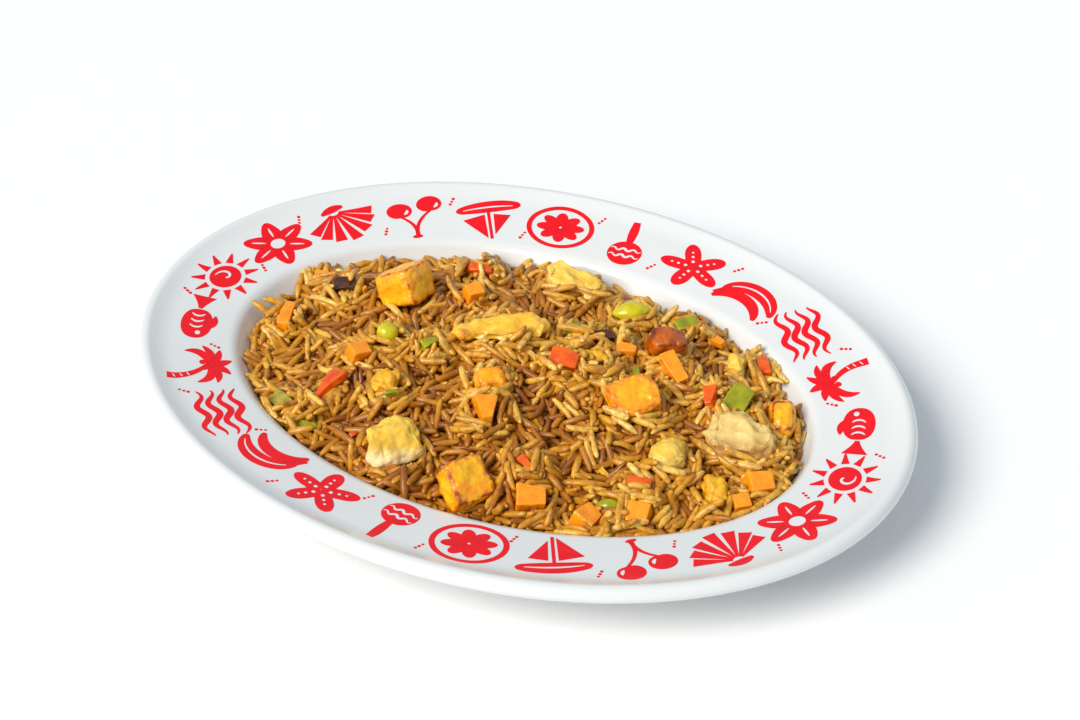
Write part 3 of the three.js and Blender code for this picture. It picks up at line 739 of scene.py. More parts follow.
# Small bits among the grains: name, finish, form, place on the plate, size and turns.
CRUMBS = (
    ("yellow_curl", "egg", slice_of(0.9, 0.5), (53, -34.3), (7, 2.6, 1.8), (-20, 10, 20)),
    ("yellow_speck", "egg", chunk(3, 0.1), (-62.6, -39.7), (2.6, 2, 1.8), (30, 0, 10)),
    ("yellow_bit", "egg", chunk(3, 0.1), (17, -44.1), (2.6, 3, 2.4), (0, 0, 20)),
    ("red_speck", "red_pepper", slice_of(0.4, 0.5), (-38.9, -56.1), (3.4, 2.4, 1.6), (60, 0, 30)),
    ("red_strip", "red_pepper", slice_of(0.5, 0.3), (-71.6, 48.7), (7, 2.6, 2), (8, 0, 20)),
    ("red_under", "carrot", slice_of(0.4, 0.4), (32, 26.4), (8, 5, 2.6), (14, 0, 16)),
    ("green_strip", "green_pepper", slice_of(0.5, 0.4), (-67, 44), (5, 2.2, 2), (20, 0, 20)),
    ("green_leaf", "green_pepper", slice_of(0.8, 0.1), (28.4, 39.5), (6, 4, 1.6), (70, 0, 30)),
    ("green_bit", "green_pepper", slice_of(0.4, 0.6), (41.7, 15.7), (6, 3.2, 2.2), (-50, 10, 24)),
    ("green_under", "green_pepper", slice_of(0.4, 0.6), (-31.9, -39.5), (5, 2.6, 2), (30, 0, 10)),
    ("orange_bit", "carrot", dice(0.3), (57.4, 55.6), (5.5, 3.4, 2.6), (-20, 0, 10)),
)


def turned(turn, tip, lean):
    """The rotation that leans about X, then tips about Y, then turns about Z, in degrees."""
    angles = np.radians((turn, tip, lean))
    (cz, cy, cx), (sz, sy, sx) = np.cos(angles), np.sin(angles)
    about_z = np.array([[cz, -sz, 0], [sz, cz, 0], [0, 0, 1]])
    about_y = np.array([[cy, 0, sy], [0, 1, 0], [-sy, 0, cy]])
    about_x = np.array([[1, 0, 0], [0, cx, -sx], [0, sx, cx]])
    return about_z @ about_y @ about_x


def middle_of(points):
    return (points.min(0) + points.max(0)) / 2


def fitting_power(shell):
    """The power, of a few, whose norm is nearest to 1 over a shell: 2 for a ball and 10 for a cube."""
    return min((2, 3, 4, 6, 10), key=lambda power: abs(norm_of(shell, power).mean() - 1))


def edge_nearness(shell):
    """0 in the middle of a cube's face and 1 on an edge, for each point."""
    return np.sort(np.abs(shell), axis=1)[:, 1]


def make_toppings(materials):
    """Makes the toppings, and returns the rounded box of each for the rice to lie round.

    That is its middle, rotation, half-size and the power of the norm that is about 1 on its surface.
    """
    placed = []
    for seed, (name, finish, form, relief, squares, size, turns) in enumerate(TOPPINGS):
        shell, quads = cube_shell(squares)
        half = np.array(size) / 2
        local = form(shell, seed) * half
        rotation = turned(*turns)
        low, high = box_mm(name)
        middle = (low + high) / 2 - middle_of(local @ rotation.T)
        fine = relief(local, seed * 7 + 1)
        detailed = local + outward(local, quads) * (fine - fine.mean())[:, None]
        points = detailed @ rotation.T
        attributes = {"edge": edge_nearness(shell), "sauced": points @ SAUCED_SIDE / half.max()}
        piece = make_piece(name + "_food", points + middle, [quads], materials[finish], attributes)
        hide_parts(name)
        placed.append((middle, rotation, half, fitting_power(local / half)))
    return placed


def make_crumbs(materials, grains):
    """Makes the small bits, each resting on the grains under it, given all of the grains' points."""
    for seed, (name, finish, form, (x, y), size, turns) in enumerate(CRUMBS):
        shell, quads = cube_shell(CRUMB_SQUARES)
        half = np.array(size) / 2
        local = form(shell, seed) * half
        reach = 0.4 * min(size[:2]) + 0.6
        under = grains[np.hypot(grains[:, 0] - x, grains[:, 1] - y) < reach]
        top = np.quantile(under[:, 2], 0.94)  # the height that all but the highest points stay under
        detailed = local + outward(local, quads) * waved(local, seed)[:, None]
        points = detailed @ turned(*turns).T + (x, y, top + 0.2 * half[2])
        attributes = {"edge": edge_nearness(shell), "sauced": local[:, 2] / half[2]}
        piece = make_piece(name, points, [quads], materials[finish], attributes)


# ---------------------------------------------------------------- rice


def rice_height(x, y):
    """Height of the heap's mean surface: a dome over the well, with a few broad lumps."""
    across = HALF_WIDTH - RICE_EDGE
    rho = np.hypot(x / (across + PULL), y / across)
    lumps = 1.1 * np.sin(x / 17 + 0.7) * np.cos(y / 14 - 0.4) + 0.7 * np.sin(x / 9 - y / 11)
    return RICE_EDGE_Z + DOME_RISE * (1 - rho**DOME_POWER) + lumps * np.maximum(0, 1 - rho**4)


def core_surface(toppings):
    """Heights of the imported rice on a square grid: well under the loose grains, but up to each topping.

    Under a topping it follows the underside of its rounded box, a little way in, and falls off beside it.
    """
    lines = [np.arange(-reach, reach + CORE_CELL, CORE_CELL) for reach in CORE_REACH]
    x, y = np.meshgrid(*lines, indexing="ij")
    hollows = CORE_HOLLOW * ripple(np.stack([x.ravel(), y.ravel()], -1), 17, 41).reshape(x.shape)
    height = rice_height(x, y) - RICE_DEPTH + hollows
    for middle, rotation, half, power in toppings:
        extent = norm_of(rotation * half, power / (power - 1))
        out = np.hypot((x - middle[0]) / extent[0], (y - middle[1]) / extent[1])
        under = (1 - np.minimum(out, CORE_UNDER) ** power) ** (1 / power)
        fall = CORE_SLOPE * extent[:2].mean() * np.maximum(0, out - CORE_UNDER)
        height = np.maximum(height, middle[2] - extent[2] * under + CORE_OVERLAP - fall)
    return height


def height_on(surface, x, y):
    """The height of a surface on the core's grid at any places, from the four cells round each."""
    at_x = np.clip((x + CORE_REACH[0]) / CORE_CELL, 0, surface.shape[0] - 1.001)
    at_y = np.clip((y + CORE_REACH[1]) / CORE_CELL, 0, surface.shape[1] - 1.001)
    i, j = at_x.astype(int), at_y.astype(int)
    u, v = at_x - i, at_y - j
    near = surface[i, j] * (1 - v) + surface[i, j + 1] * v
    far = surface[i + 1, j] * (1 - v) + surface[i + 1, j + 1] * v
    return near * (1 - u) + far * u


def neighbours(points, reach):
    """Index pairs of the points closer than reach: each is matched with the cells that follow its own."""
    cell = np.floor((points - points.min(0)) / reach).astype(np.int64) + 1
    span = cell.max(0) + 2
    key = (cell[:, 0] * span[1] + cell[:, 1]) * span[2] + cell[:, 2]
    order = np.argsort(key, kind="stable")
    begin = np.searchsorted(key[order], np.arange(span.prod() + 1))
    index = np.arange(len(points))
    found = []
    steps = [(i, j, k) for i in (0, 1) for j in (-1, 0, 1) for k in (-1, 0, 1) if (i, j, k) >= (0, 0, 0)]
    for i, j, k in steps:
        other = key + (i * span[1] + j) * span[2] + k
        low, high = begin[other], begin[other + 1]
        for place in range(int((high - low).max())):
            pick = low + place < high
            a, b = index[pick], order[(low + place)[pick]]
            near = ((points[a] - points[b]) ** 2).sum(1) < reach * reach
            if (i, j, k) == (0, 0, 0):
                near &= a < b
            found.append(np.stack([a[near], b[near]]))
    return np.concatenate(found, 1)


def clear_of_topping(balls, radius, topping):
    """Pushes that take balls out of a rounded box, by one Newton step on its norm."""
    middle, rotation, half, power = topping
    q = (balls - middle) @ rotation
    reach = half + radius[:, None]
    ratio = np.abs(q / reach) + 1e-6
    norm = norm_of(ratio, power)
    slope = np.sign(q) * (ratio / norm[:, None]) ** (power - 1) / reach
    step = np.clip(1 - norm, 0, 0.5) / np.maximum(1e-6, (slope**2).sum(1))
    return (slope * step[:, None]) @ rotation.T


def clear_of_plate(balls, radius):
    """Pushes that lift balls off the plate's upper face, along its slope's normal."""
    x, y, z = balls.T
    inset = inset_of(x, y)
    height = rim_height(inset)
    slope = (rim_height(inset + 0.4) - rim_height(inset - 0.4)) / 0.8
    inward = unit(-np.stack([x / (HALF_WIDTH - inset + PULL) ** 2, y / (HALF_WIDTH - inset) ** 2], -1))
    steep = np.sqrt(1 + slope**2)
    sunk = np.maximum(0, radius - (z - height) / steep) / steep
    return np.concatenate([inward * (-slope * sunk)[:, None], sunk[:, None]], 1)


def ball_offsets(length, thick):
    """How far along its grain's axis each ball lies from the grain's middle."""
    return (length / 2 - thick * 0.75)[:, None] * np.linspace(-1, 1, BALLS)


def ball_radii(thick, narrowing_share):
    """The balls' radii: the end ones are narrower than the middle one by so much of it."""
    return (thick[:, None] * (1 - narrowing_share * np.linspace(-1, 1, BALLS) ** 2)).ravel()


def balls_of(middle, axis, offset):
    """The middles of all grains' balls, grain by grain."""
    return (middle[:, None] + axis[:, None] * offset[..., None]).reshape(-1, 3)


def near_pairs(balls):
    """Index pairs of the balls of different grains that may touch."""
    a, b = neighbours(balls, PAIR_REACH)
    apart = a // BALLS != b // BALLS
    return a[apart], b[apart]


def scatter_grains():
    """The middles, axes, lengths and half-widths of grains at random in the heap, before they settle."""
    rng = np.random.default_rng(12)
    rho, angle = np.sqrt(rng.uniform(0, 1, GRAIN_COUNT)), rng.uniform(0, 2 * np.pi, GRAIN_COUNT)
    x, y = rho * (HEAP_ACROSS + PULL) * np.cos(angle), rho * HEAP_ACROSS * np.sin(angle)
    z = rice_height(x, y) - RICE_DEPTH + 2 + rng.uniform(0, RICE_DEPTH + 8, GRAIN_COUNT)
    middle = np.stack([x, y, z], -1)
    heading = 2.2 * ripple(middle, 24, 63) + rng.normal(0, 0.65, GRAIN_COUNT)
    tilt = np.clip(rng.normal(0, 0.5, GRAIN_COUNT), -1.2, 1.2)
    axis = np.stack([np.cos(heading) * np.cos(tilt), np.sin(heading) * np.cos(tilt), np.sin(tilt)], -1)
    length = GRAIN_LENGTH * np.clip(rng.normal(1, 0.13, GRAIN_COUNT), 0.6, 1.3)
    length[rng.uniform(size=GRAIN_COUNT) < SHORT_SHARE] *= SHORT_LENGTH
    return middle, axis, length, GRAIN_WIDTH / 2 * rng.normal(1, 0.06, GRAIN_COUNT)


def settle_grains(toppings, core):
    """Lets grains fall onto the core and push each other apart, as rows of balls that stay straight.

    Each step lowers the grains, moves touching balls apart, lifts them off the core, the plate and the
    toppings, and then fits each grain's middle and direction to its balls again.
    """
    middle, axis, length, thick = scatter_grains()
    offset = ball_offsets(length, thick)
    square_sum = (offset**2).sum(1)[:, None]
    radius = ball_radii(SOFTNESS * thick, 0.26)
    for step in range(SETTLE_STEPS):
        middle[:, 2] -= FALL * max(0.0, 1 - step / FALL_STEPS)
        balls = balls_of(middle, axis, offset)
        if step % PAIR_STEPS == 0:
            a, b = near_pairs(balls)
            near = [
                np.flatnonzero(((balls - centre) ** 2).sum(1) < (np.linalg.norm(half) + NEAR_TOPPING) ** 2)
                for centre, _, half, _ in toppings
            ]
            rho = np.hypot(balls[:, 0] / (HEAP_ACROSS + PULL), balls[:, 1] / HEAP_ACROSS)
            outer = np.flatnonzero(rho > NEAR_PLATE)
        between = balls[a] - balls[b]
        distance = np.maximum(1e-6, np.linalg.norm(between, axis=1))
        overlap = np.maximum(0, radius[a] + radius[b] - distance)
        push = between * (overlap * PUSH_APART / distance)[:, None]
        total = gather(a, push, len(balls)) - gather(b, push, len(balls))
        for topping, index in zip(toppings, near):
            total[index] += clear_of_topping(balls[index], radius[index], topping)
        total[outer] += clear_of_plate(balls[outer], radius[outer])
        x, y, z = balls.T
        total[:, 2] += np.maximum(0, height_on(core, x, y) + radius - z) * PUSH_UP
        total[:, 2] -= np.clip(z - rice_height(x, y) - PRESSED_ABOVE, 0, 1) * PUSH_DOWN
        moved = (balls + total).reshape(GRAIN_COUNT, BALLS, 3)
        middle = moved.mean(1)
        axis = unit(((moved - middle[:, None]) * offset[..., None]).sum(1) / square_sum)
    return middle, axis, length, thick


def height_in_heap(middle):
    """How far each grain's middle lies above the heap's mean surface."""
    return middle[:, 2] - rice_height(middle[:, 0], middle[:, 1])


def raise_ends(middle, axis, length):
    """Turns a few of the top grains up about one end, so that they stick out of the heap."""
    rng = np.random.default_rng(51)
    chosen = rng.uniform(size=len(middle)) < RAISED_SHARE
    picked = np.flatnonzero((height_in_heap(middle) > -RAISED_BELOW) & chosen)
    lift = np.radians(rng.uniform(RAISED_LEAST, RAISED_MOST, len(picked)))[:, None]
    flat = axis[picked] * np.sign(rng.uniform(-1, 1, (len(picked), 1)))
    arm = (length[picked] * RAISED_ABOUT)[:, None]
    raised = unit(flat * np.cos(lift) + np.array([0, 0, 1]) * np.sin(lift))
    middle[picked] = middle[picked] - flat * arm + raised * arm
    axis[picked] = raised
    return middle, axis


def touching(middle, axis, length, thick):
    """Which grains touch another, so that none is left in the air."""
    balls = balls_of(middle, axis, ball_offsets(length, thick))
    radius = ball_radii(thick, 0.2)
    a, b = near_pairs(balls)
    close = np.linalg.norm(balls[a] - balls[b], axis=1) < radius[a] + radius[b] + 0.1
    return np.isin(np.arange(len(middle)), np.concatenate([a[close], b[close]]) // BALLS)


def grain_shapes(middle, axis, length, thick):
    """Spindle meshes for all grains at once, as (grains, points, 3), with the points' places along them.

    Along t from -1 to 1 the radius is thick times the root of 1 - |t|^power, with a power of its own for
    each end, the section is a flattened ring, and the middle line bows by a share of 0.5 - t^2.
    """
    rng = np.random.default_rng(31)
    count = len(middle)
    t, tip = np.array(GRAIN_RINGS), np.array([-1.0, 1.0])
    up = unit(np.cross(axis, rng.normal(size=(count, 3))))
    side = np.cross(axis, up)
    around = np.linspace(0, 2 * np.pi, GRAIN_SIDES, endpoint=False)
    blunt = rng.uniform(*GRAIN_BLUNTNESS, (count, 2))
    power = np.where(t[None] < 0, blunt[:, :1], blunt[:, 1:])
    swell = thick[:, None] * (1 - np.abs(t) ** power) ** 0.5
    bow = (rng.normal(0, GRAIN_BOW, count) * length)[:, None]

    def on_line(places):
        along = axis[:, None] * (places * length[:, None] / 2)[..., None]
        return middle[:, None] + along + up[:, None] * (bow * (0.5 - places**2))[..., None]

    ring = up[:, None] * np.cos(around)[:, None] * GRAIN_FLATNESS + side[:, None] * np.sin(around)[:, None]
    body = on_line(t)[:, :, None] + ring[:, None] * swell[:, :, None, None]
    points = np.concatenate([body.reshape(count, -1, 3), on_line(tip)], 1)
    return points, np.concatenate([np.repeat(t, GRAIN_SIDES), tip])


def grain_tones(middle, along):
    """Each grain's tone, from 0 for dark to 1 for pale, and the tones of its points.

    The tone drifts over the plate and differs from grain to grain, and is darker at one end of each grain;
    its points are mottled. Painted shade makes it darker deep in the heap, between the grains, and towards
    the heap's front.
    """
    rng = np.random.default_rng(77)
    # painted shade: grains lower in the heap, and those towards its front, are made darker
    depth = np.clip(-height_in_heap(middle) - 0.6, 0, 4)
    front = np.clip(-middle[:, 1] / HEAP_FRONT, 0, 1) ** 3
    tone = TONE + TONE_DRIFT * ripple(middle, 50, 3) + rng.normal(0, TONE_SPREAD, len(middle))
    tone = np.clip(tone - PAINTED_SHADE_DEPTH * depth - PAINTED_SHADE_FRONT * front, 0, 1)
    darker_end = rng.normal(0, TONE_END, (len(middle), 1))
    mottling = rng.normal(0, TONE_MOTTLING, (len(middle), len(along)))
    return tone, tone[:, None] + darker_end * along + mottling


def make_core(material, core):
    """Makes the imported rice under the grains: rings that follow its heights, and one at its foot."""
    share = np.linspace(0, 1, CORE_RINGS)[1:]
    inset = np.append(HALF_WIDTH - (HALF_WIDTH - CORE_EDGE) * share, CORE_FOOT_EDGE)
    x, y = oval(inset[:, None], np.linspace(0, 2 * np.pi, CORE_SPOKES, endpoint=False))
    z = height_on(core, x, y)
    z[-1] = CORE_FOOT_Z
    points, faces = closed_rings(np.stack([x, y, z], -1), (0, 0, z[0].mean()), (0, 0, CORE_FOOT_Z))
    piece = make_piece("rice_core_painted_shade", points, faces, material)
    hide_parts("rice")


def make_grains(material, toppings, core):
    """Makes the grains, as one mesh for each range of tones, and returns all of their points."""
    middle, axis, length, thick = settle_grains(toppings, core)
    middle, axis = raise_ends(middle, axis, length)
    kept = touching(middle, axis, length, thick) & (height_in_heap(middle) < LEFT_OUT_ABOVE)
    middle = middle[kept]
    shapes, along = grain_shapes(middle, axis[kept], length[kept], thick[kept])
    tone, point_tones = grain_tones(middle, along)
    quads, caps = ring_faces(len(GRAIN_RINGS), GRAIN_SIDES)
    group = np.digitize(tone, np.quantile(tone, (DARK_SHARE, DARK_SHARE + BROWN_SHARE)))
    for index, name in enumerate(("rice_dark", "rice_brown", "rice_golden")):
        picked = shapes[group == index]
        first = np.arange(len(picked))[:, None, None] * len(along)
        faces = [(first + quads).reshape(-1, 4), (first + caps).reshape(-1, 3)]
        attributes = {"tone": point_tones[group == index].ravel()}
        grains = make_piece(name, picked.reshape(-1, 3), faces, material, attributes)
        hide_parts("rice")
    return shapes.reshape(-1, 3)


# ---------------------------------------------------------------- materials


def set_inputs(tree, node, inputs):
    """Sets a node's inputs to values, or joins them to other nodes' outputs."""
    for label, value in inputs.items():
        if isinstance(value, bpy.types.NodeSocket):
            tree.links.new(value, node.inputs[label])
        else:
            node.inputs[label].default_value = value


def add(tree, kind, inputs=None, **settings):
    """A new shader node, with its settings and inputs."""
    node = tree.nodes.new("ShaderNode" + kind)
    for label, value in settings.items():
        setattr(node, label, value)
    set_inputs(tree, node, inputs or {})
    return node


def rgb(red, green, blue):
    """A shader colour from the 0 to 255 values that a screen shows."""
    screen = np.array([red, green, blue]) / 255
    linear = np.where(screen <= 0.04045, screen / 12.92, ((screen + 0.055) / 1.055) ** 2.4)
    return (*linear.tolist(), 1.0)


def spread(tree, value, low, high, to_low=0.0, to_high=1.0):
    """A value's range from low to high, stretched to another and cut off at its ends."""
    inputs = {"Value": value, "From Min": low, "From Max": high, "To Min": to_low, "To Max": to_high}
    return add(tree, "MapRange", inputs).outputs["Result"]


def times(tree, a, b, clamp=False):
    """The product of two values, cut off at 0 and 1 where clamp is set."""
    return add(tree, "Math", {0: a, 1: b}, operation="MULTIPLY", use_clamp=clamp).outputs[0]


def blend_colours(tree, share, first, second):
    """Two colours mixed by the second one's share."""
    return add(tree, "Mix", {0: share, 6: first, 7: second}, data_type="RGBA").outputs[2]


def group_tree(name, inputs, outputs):
    """A new group of shader nodes with named sockets, as (group, what it is given, its output node)."""
    group = bpy.data.node_groups.new(name, "ShaderNodeTree")
    for way, sockets in (("INPUT", inputs), ("OUTPUT", outputs)):
        for label, kind in sockets.items():
            group.interface.new_socket(label, in_out=way, socket_type="NodeSocket" + kind)
    return group, group.nodes.new("NodeGroupInput").outputs, group.nodes.new("NodeGroupOutput")


def make_mottle_group():
    """Two colours mixed by noise: Amount moves the share, Contrast sharpens the patches' edges."""
    given_kinds = {"Vector": "Vector", "Scale": "Float", "Amount": "Float", "Contrast": "Float"}
    group, given, result = group_tree(
        "mottle", {**given_kinds, "First": "Color", "Second": "Color"}, {"Color": "Color", "Mask": "Float"}
    )
    texture = {"Vector": given["Vector"], "Scale": given["Scale"], "Detail": 4.0, "Roughness": 0.6}
    noise = add(group, "TexNoise", texture).outputs["Fac"]
    centred = add(group, "Math", {0: noise, 1: 0.5}, operation="SUBTRACT").outputs[0]
    line = {0: centred, 1: given["Contrast"], 2: given["Amount"]}
    mask = add(group, "Math", line, operation="MULTIPLY_ADD", use_clamp=True).outputs[0]
    colour = blend_colours(group, mask, given["First"], given["Second"])
    set_inputs(group, result, {"Color": colour, "Mask": mask})
    return group


def make_relief_group():
    """A normal from fine noise, and the noise itself for roughness."""
    group, given, result = group_tree(
        "fine_relief",
        {"Vector": "Vector", "Scale": "Float", "Strength": "Float", "Distance": "Float"},
        {"Normal": "Vector", "Mask": "Float"},
    )
    texture = {"Vector": given["Vector"], "Scale": given["Scale"], "Detail": 5.0, "Roughness": 0.65}
    noise = add(group, "TexNoise", texture).outputs["Fac"]
    relief = {"Height": noise, "Strength": given["Strength"], "Distance": given["Distance"]}
    normal = add(group, "Bump", relief).outputs["Normal"]
    set_inputs(group, result, {"Normal": normal, "Mask": noise})
    return group


MOTTLE = make_mottle_group()
FINE_RELIEF = make_relief_group()


def mottled(tree, place, scale, amount, contrast, first, second):
    """The outputs of the shared mottling: Color, and Mask, which is the second colour's share."""
    pattern = {"Vector": place, "Scale": scale, "Amount": amount, "Contrast": contrast}
    return add(tree, "Group", {**pattern, "First": first, "Second": second}, node_tree=MOTTLE).outputs


def roughen(tree, shader, place, scale, strength, distance, lowest, highest):
    """Gives a shader the shared fine relief, and a roughness that goes with it from lowest to highest."""
    inputs = {"Vector": place, "Scale": scale, "Strength": strength, "Distance": distance}
    relief = add(tree, "Group", inputs, node_tree=FINE_RELIEF).outputs
    roughness = spread(tree, relief["Mask"], 0.3, 0.7, lowest, highest)
    set_inputs(tree, shader, {"Normal": relief["Normal"], "Roughness": roughness})


def new_material(name, **constants):
    """A material, its tree and its Principled BSDF, with constants set on the shader's own sockets."""
    material = bpy.data.materials.new(name)
    material.use_nodes = True
    shader = material.node_tree.nodes["Principled BSDF"]
    for label, value in constants.items():
        shader.inputs[label.replace("_", " ")].default_value = value
    return material, material.node_tree, shader


def object_place(tree):
    return add(tree, "TexCoord").outputs["Object"]


def attribute(tree, name):
    return add(tree, "Attribute", attribute_name=name).outputs["Fac"]


WARE_TONES = rgb(219, 222, 222), rgb(224, 226, 225)


def glaze_material():
    """White glazed ware: a faint cool tint in patches and a glaze that lies slightly unevenly."""
    material, tree, shader = new_material("glaze", Coat_Weight=0.5, Coat_Roughness=0.06)
    place = object_place(tree)
    tint = mottled(tree, place, 18.0, 0.5, 1.6, *WARE_TONES)
    set_inputs(tree, shader, {"Base Color": tint["Color"]})
    roughen(tree, shader, place, 34.0, 0.12, 0.0012, 0.14, 0.24)
    return material


def print_material(name, tones, gap_amount):
    """Hand-printed colour under the glaze: a deeper and a lighter tone, and gaps where the paint missed."""
    constants = {"Specular_IOR_Level": 0.25, "Coat_Weight": 0.12, "Coat_Roughness": 0.08}
    material, tree, shader = new_material(name, **constants)
    place = object_place(tree)
    tone = mottled(tree, place, 160.0, 0.45, 2.0, *tones)
    gaps = mottled(tree, place, 620.0, gap_amount, 7.0, tone["Color"], rgb(226, 200, 204))
    roughness = spread(tree, tone["Mask"], 0.0, 1.0, 0.2, 0.34)
    set_inputs(tree, shader, {"Base Color": gaps["Color"], "Roughness": roughness})
    return material


GRAIN_COLOURS = (140, 76, 4), (184, 116, 16), (212, 150, 34), (230, 176, 60), (244, 204, 104)


def rice_material():
    """Moist brown rice: each grain's tone picks a brown to gold, with fine mottling and an oily sheen."""
    material, tree, shader = new_material(
        "rice_grain", Specular_IOR_Level=0.45, Coat_Weight=0.24, Coat_Roughness=0.1,
        Subsurface_Weight=0.22, Subsurface_Scale=0.0012, Subsurface_Radius=(1.0, 0.55, 0.25),
    )
    place = object_place(tree)
    ramp = add(tree, "ValToRGB", {"Fac": attribute(tree, "tone")})
    while len(ramp.color_ramp.elements) < len(GRAIN_COLOURS):
        ramp.color_ramp.elements.new(0.5)
    for index, colour in enumerate(GRAIN_COLOURS):
        ramp.color_ramp.elements[index].position = index / (len(GRAIN_COLOURS) - 1)
        ramp.color_ramp.elements[index].color = rgb(*colour)
    stain = mottled(tree, place, 420.0, 0.16, 2.8, ramp.outputs["Color"], rgb(142, 78, 10))
    set_inputs(tree, shader, {"Base Color": stain["Color"]})
    roughen(tree, shader, place, 900.0, 0.25, 0.0004, 0.3, 0.5)
    return material


def core_painted_shade_material():
    """Packed rice deep in the heap, painted dark as the shade that falls between the grains."""
    material, tree, shader = new_material("rice_core_painted_shade", Roughness=0.6)
    # painted shade: these dark browns stand for the shade in the gaps between the grains
    tone = mottled(tree, object_place(tree), 300.0, 0.5, 3.0, rgb(56, 22, 0), rgb(100, 48, 4))
    set_inputs(tree, shader, {"Base Color": tone["Color"]})
    return material


def food_material(
    name, main, second, edge, edge_share, edge_start, inner,
    fringe=None, scale=180.0, gloss=0.3, relief=0.3, soft=0.2, coat=0.25,
):
    """Moist food: two tones in patches, browned or pale edges, and an inner side away from the sauce.

    The edge's colour begins at edge_start, with 0 at a face's middle and 1 at an edge, and grows to its
    share. fringe is the colour of a wider, fainter band beside it.
    """
    material, tree, shader = new_material(
        name, Specular_IOR_Level=0.4, Coat_Weight=coat, Coat_Roughness=0.12,
        Subsurface_Weight=soft, Subsurface_Scale=0.002, Subsurface_Radius=(1.0, 0.5, 0.2),
    )
    place = object_place(tree)
    tones = rgb(*main), rgb(*second)
    patches = mottled(tree, place, scale, 0.5, 3.2, *tones)
    broken = mottled(tree, place, scale * 2.3, 0.5, 3.0, *tones)["Mask"]
    colour = patches["Color"]
    if inner:
        turned_away = spread(tree, attribute(tree, "sauced"), 0.1, -0.35)
        away = times(tree, turned_away, spread(tree, broken, 0.0, 1.0, 0.7, 1.0))
        colour = blend_colours(tree, away, colour, rgb(*inner))
    edge_near = attribute(tree, "edge")
    if fringe:
        wide = spread(tree, edge_near, edge_start - 0.35, 1.0, 0.0, 1.3)
        colour = blend_colours(tree, times(tree, wide, broken, clamp=True), colour, rgb(*fringe))
    in_places = times(tree, broken, spread(tree, patches["Mask"], 0.15, 0.7))
    worn = times(tree, spread(tree, edge_near, edge_start, 1.0), in_places)
    share = times(tree, worn, edge_share, clamp=True)
    set_inputs(tree, shader, {"Base Color": blend_colours(tree, share, colour, rgb(*edge))})
    roughen(tree, shader, place, 1100.0, relief, 0.0005, gloss * 0.75, gloss * 1.25)
    return material


FRIED = {"fringe": (240, 128, 10), "scale": 190.0, "gloss": 0.24, "relief": 0.45, "soft": 0.25, "coat": 0.3}
CHARRED = {**FRIED, "fringe": None}
CURD = {"scale": 360.0, "gloss": 0.4, "coat": 0.12}
MEAT = {"scale": 140.0, "gloss": 0.4, "relief": 0.4, "soft": 0.25, "coat": 0.1}
GLAZED = {**MEAT, "gloss": 0.24, "coat": 0.45}
FRESH = {"scale": 230.0, "gloss": 0.22, "relief": 0.2, "coat": 0.3}
PULPY = {**FRESH, "soft": 0.3}

# Each finish: its two tones, the edge's colour, share and start, the inner side's colour, and the rest.
# Edges are browned where a piece was fried, and paler where it was cut.
FINISHES = {
    "plantain": ((254, 188, 14), (246, 152, 8), (190, 92, 4), 1.2, 0.84, None, FRIED),
    "plantain_cube": ((255, 198, 20), (250, 164, 10), (156, 72, 2), 2.2, 0.88, None, FRIED),
    "plantain_seared": ((255, 202, 20), (250, 158, 8), (150, 66, 0), 2.4, 0.76, None, FRIED),
    "plantain_charred": ((214, 108, 14), (142, 58, 4), (80, 30, 0), 1.6, 0.7, None, CHARRED),
    "egg": ((246, 192, 34), (222, 150, 18), (186, 112, 16), 0.8, 0.8, None, CURD),
    "chicken": ((244, 204, 82), (232, 182, 52), (214, 156, 44), 0.5, 0.8, (252, 230, 182), MEAT),
    "chicken_sauced": ((248, 212, 100), (238, 190, 66), (222, 164, 46), 0.6, 0.8, (250, 214, 120), MEAT),
    "chicken_glazed": ((252, 208, 66), (240, 178, 34), (208, 116, 10), 1.2, 0.7, (222, 150, 22), GLAZED),
    "chicken_browned": ((236, 206, 130), (222, 184, 100), (176, 112, 50), 0.9, 0.8, (176, 118, 50), MEAT),
    "carrot": ((255, 164, 22), (250, 140, 12), (254, 184, 60), 0.6, 0.8, None, PULPY),
    "red_pepper": ((240, 106, 4), (216, 70, 2), (246, 140, 50), 0.8, 0.8, None, FRESH),
    "green_pepper": ((166, 166, 12), (132, 132, 4), (200, 196, 66), 0.8, 0.8, None, FRESH),
    "green_pepper_pale": ((186, 172, 70), (136, 120, 20), (210, 198, 110), 0.8, 0.7, None, FRESH),
    "pea": ((218, 206, 14), (194, 182, 6), (228, 214, 60), 0.4, 0.8, None, PULPY),
    "onion": ((96, 54, 26), (58, 26, 12), (164, 112, 66), 0.8, 0.8, None, FRESH),
}


# ---------------------------------------------------------------- stage

VIEW_AZIMUTH, VIEW_ELEVATION, VIEW_DISTANCE = 27.9, 38.0, 0.9
VIEW_TARGET = Vector((0, 0, 0.028))
LENS_MM, LENS_SHIFT = 79.77, (0.0199, 0.0086)
KEY_ASIDE, KEY_ELEVATION, KEY_ANGLE = 50, 42, 30  # degrees, the first one to the left of the camera
KEY_STRENGTH, KEY_COLOUR = 3.1, (1.0, 0.95, 0.88)
SKY_STRENGTH, SKY_COLOUR = 0.57, (0.81, 0.905, 1.0, 1)
FLOOR_REACH = 3.0  # metres


def from_direction(azimuth, elevation, distance):
    """A place seen from the target at an azimuth, 0 in front and growing to the right, and an elevation."""
    a, e = np.radians((azimuth, elevation))
    return VIEW_TARGET + distance * Vector((np.sin(a) * np.cos(e), -np.cos(a) * np.cos(e), np.sin(e)))


def look_at(thing, place, target):
    thing.location = place
    thing.rotation_euler = (target - place).to_track_quat("-Z", "Y").to_euler()


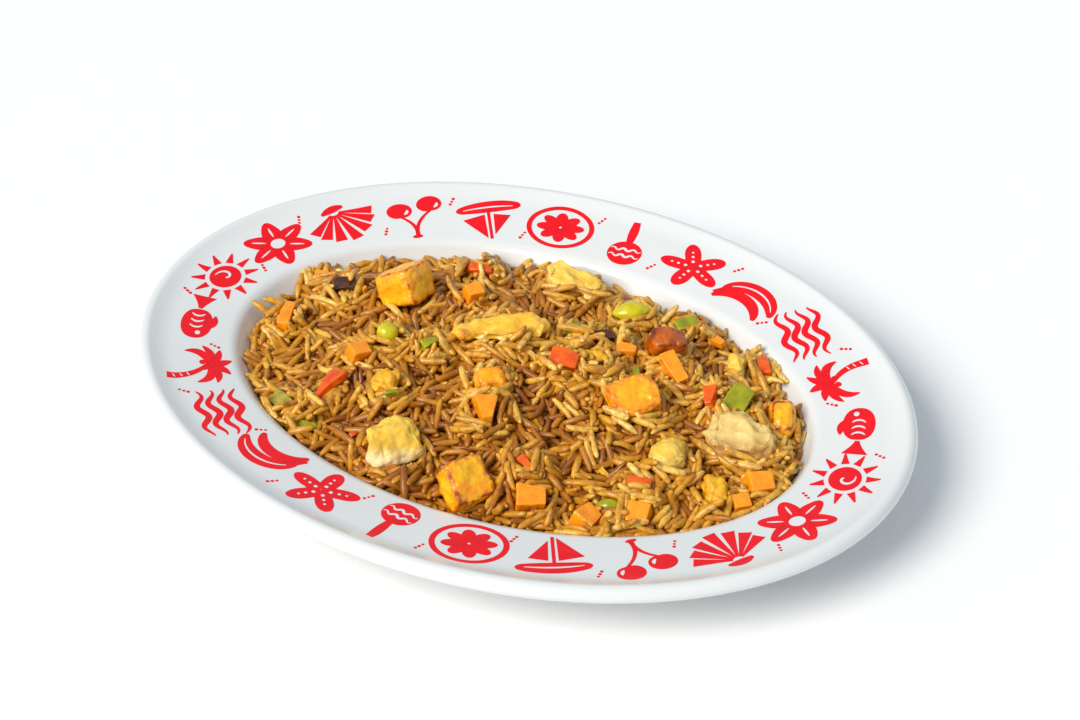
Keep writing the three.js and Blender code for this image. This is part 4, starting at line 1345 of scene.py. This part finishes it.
def make_camera():
    lens = bpy.data.cameras.new("camera")
    lens.sensor_width = 36
    lens.lens = LENS_MM
    lens.shift_x, lens.shift_y = LENS_SHIFT
    camera = bpy.data.objects.new("camera", lens)
    look_at(camera, from_direction(VIEW_AZIMUTH, VIEW_ELEVATION, VIEW_DISTANCE), VIEW_TARGET)
    bpy.context.scene.collection.objects.link(camera)
    bpy.context.scene.camera = camera


def make_light():
    """The key light: a distant one whose disc spans KEY_ANGLE, which sets how soft its shadows are."""
    data = bpy.data.lights.new("key", "SUN")
    data.angle, data.energy, data.color = np.radians(KEY_ANGLE), KEY_STRENGTH, KEY_COLOUR
    light = bpy.data.objects.new("key", data)
    look_at(light, from_direction(VIEW_AZIMUTH - KEY_ASIDE, KEY_ELEVATION, 2.0), VIEW_TARGET)
    bpy.context.scene.collection.objects.link(light)


def make_floor():
    mesh = bpy.data.meshes.new("floor")
    corners = [(x * FLOOR_REACH, y * FLOOR_REACH, 0) for x, y in ((-1, -1), (1, -1), (1, 1), (-1, 1))]
    mesh.from_pydata(corners, [], [(0, 1, 2, 3)])
    mesh.materials.append(new_material("floor", Roughness=0.7, Base_Color=(0.9, 0.9, 0.9, 1))[0])
    floor = bpy.data.objects.new("floor", mesh)
    bpy.context.scene.collection.objects.link(floor)


def make_sky():
    world = bpy.data.worlds.new("studio")
    world.use_nodes = True
    background = world.node_tree.nodes["Background"]
    set_inputs(world.node_tree, background, {"Color": SKY_COLOUR, "Strength": SKY_STRENGTH})
    bpy.context.scene.world = world
    bpy.context.scene.view_settings.view_transform = "Standard"


# ---------------------------------------------------------------- all of it

make_camera()
make_floor()
make_light()
make_sky()
make_plate(glaze_material())
make_print(
    {
        "red": print_material("border_red", (rgb(244, 0, 18), rgb(218, 0, 22)), -1.5),
        "white": print_material("border_white", WARE_TONES, -3.0),
    }
)
food_materials = {
    name: food_material(name, *look, **surface) for name, (*look, surface) in FINISHES.items()
}
placed_toppings = make_toppings(food_materials)
core_heights = core_surface(placed_toppings)
make_core(core_painted_shade_material(), core_heights)
grain_points = make_grains(rice_material(), placed_toppings, core_heights)
make_crumbs(food_materials, grain_points)
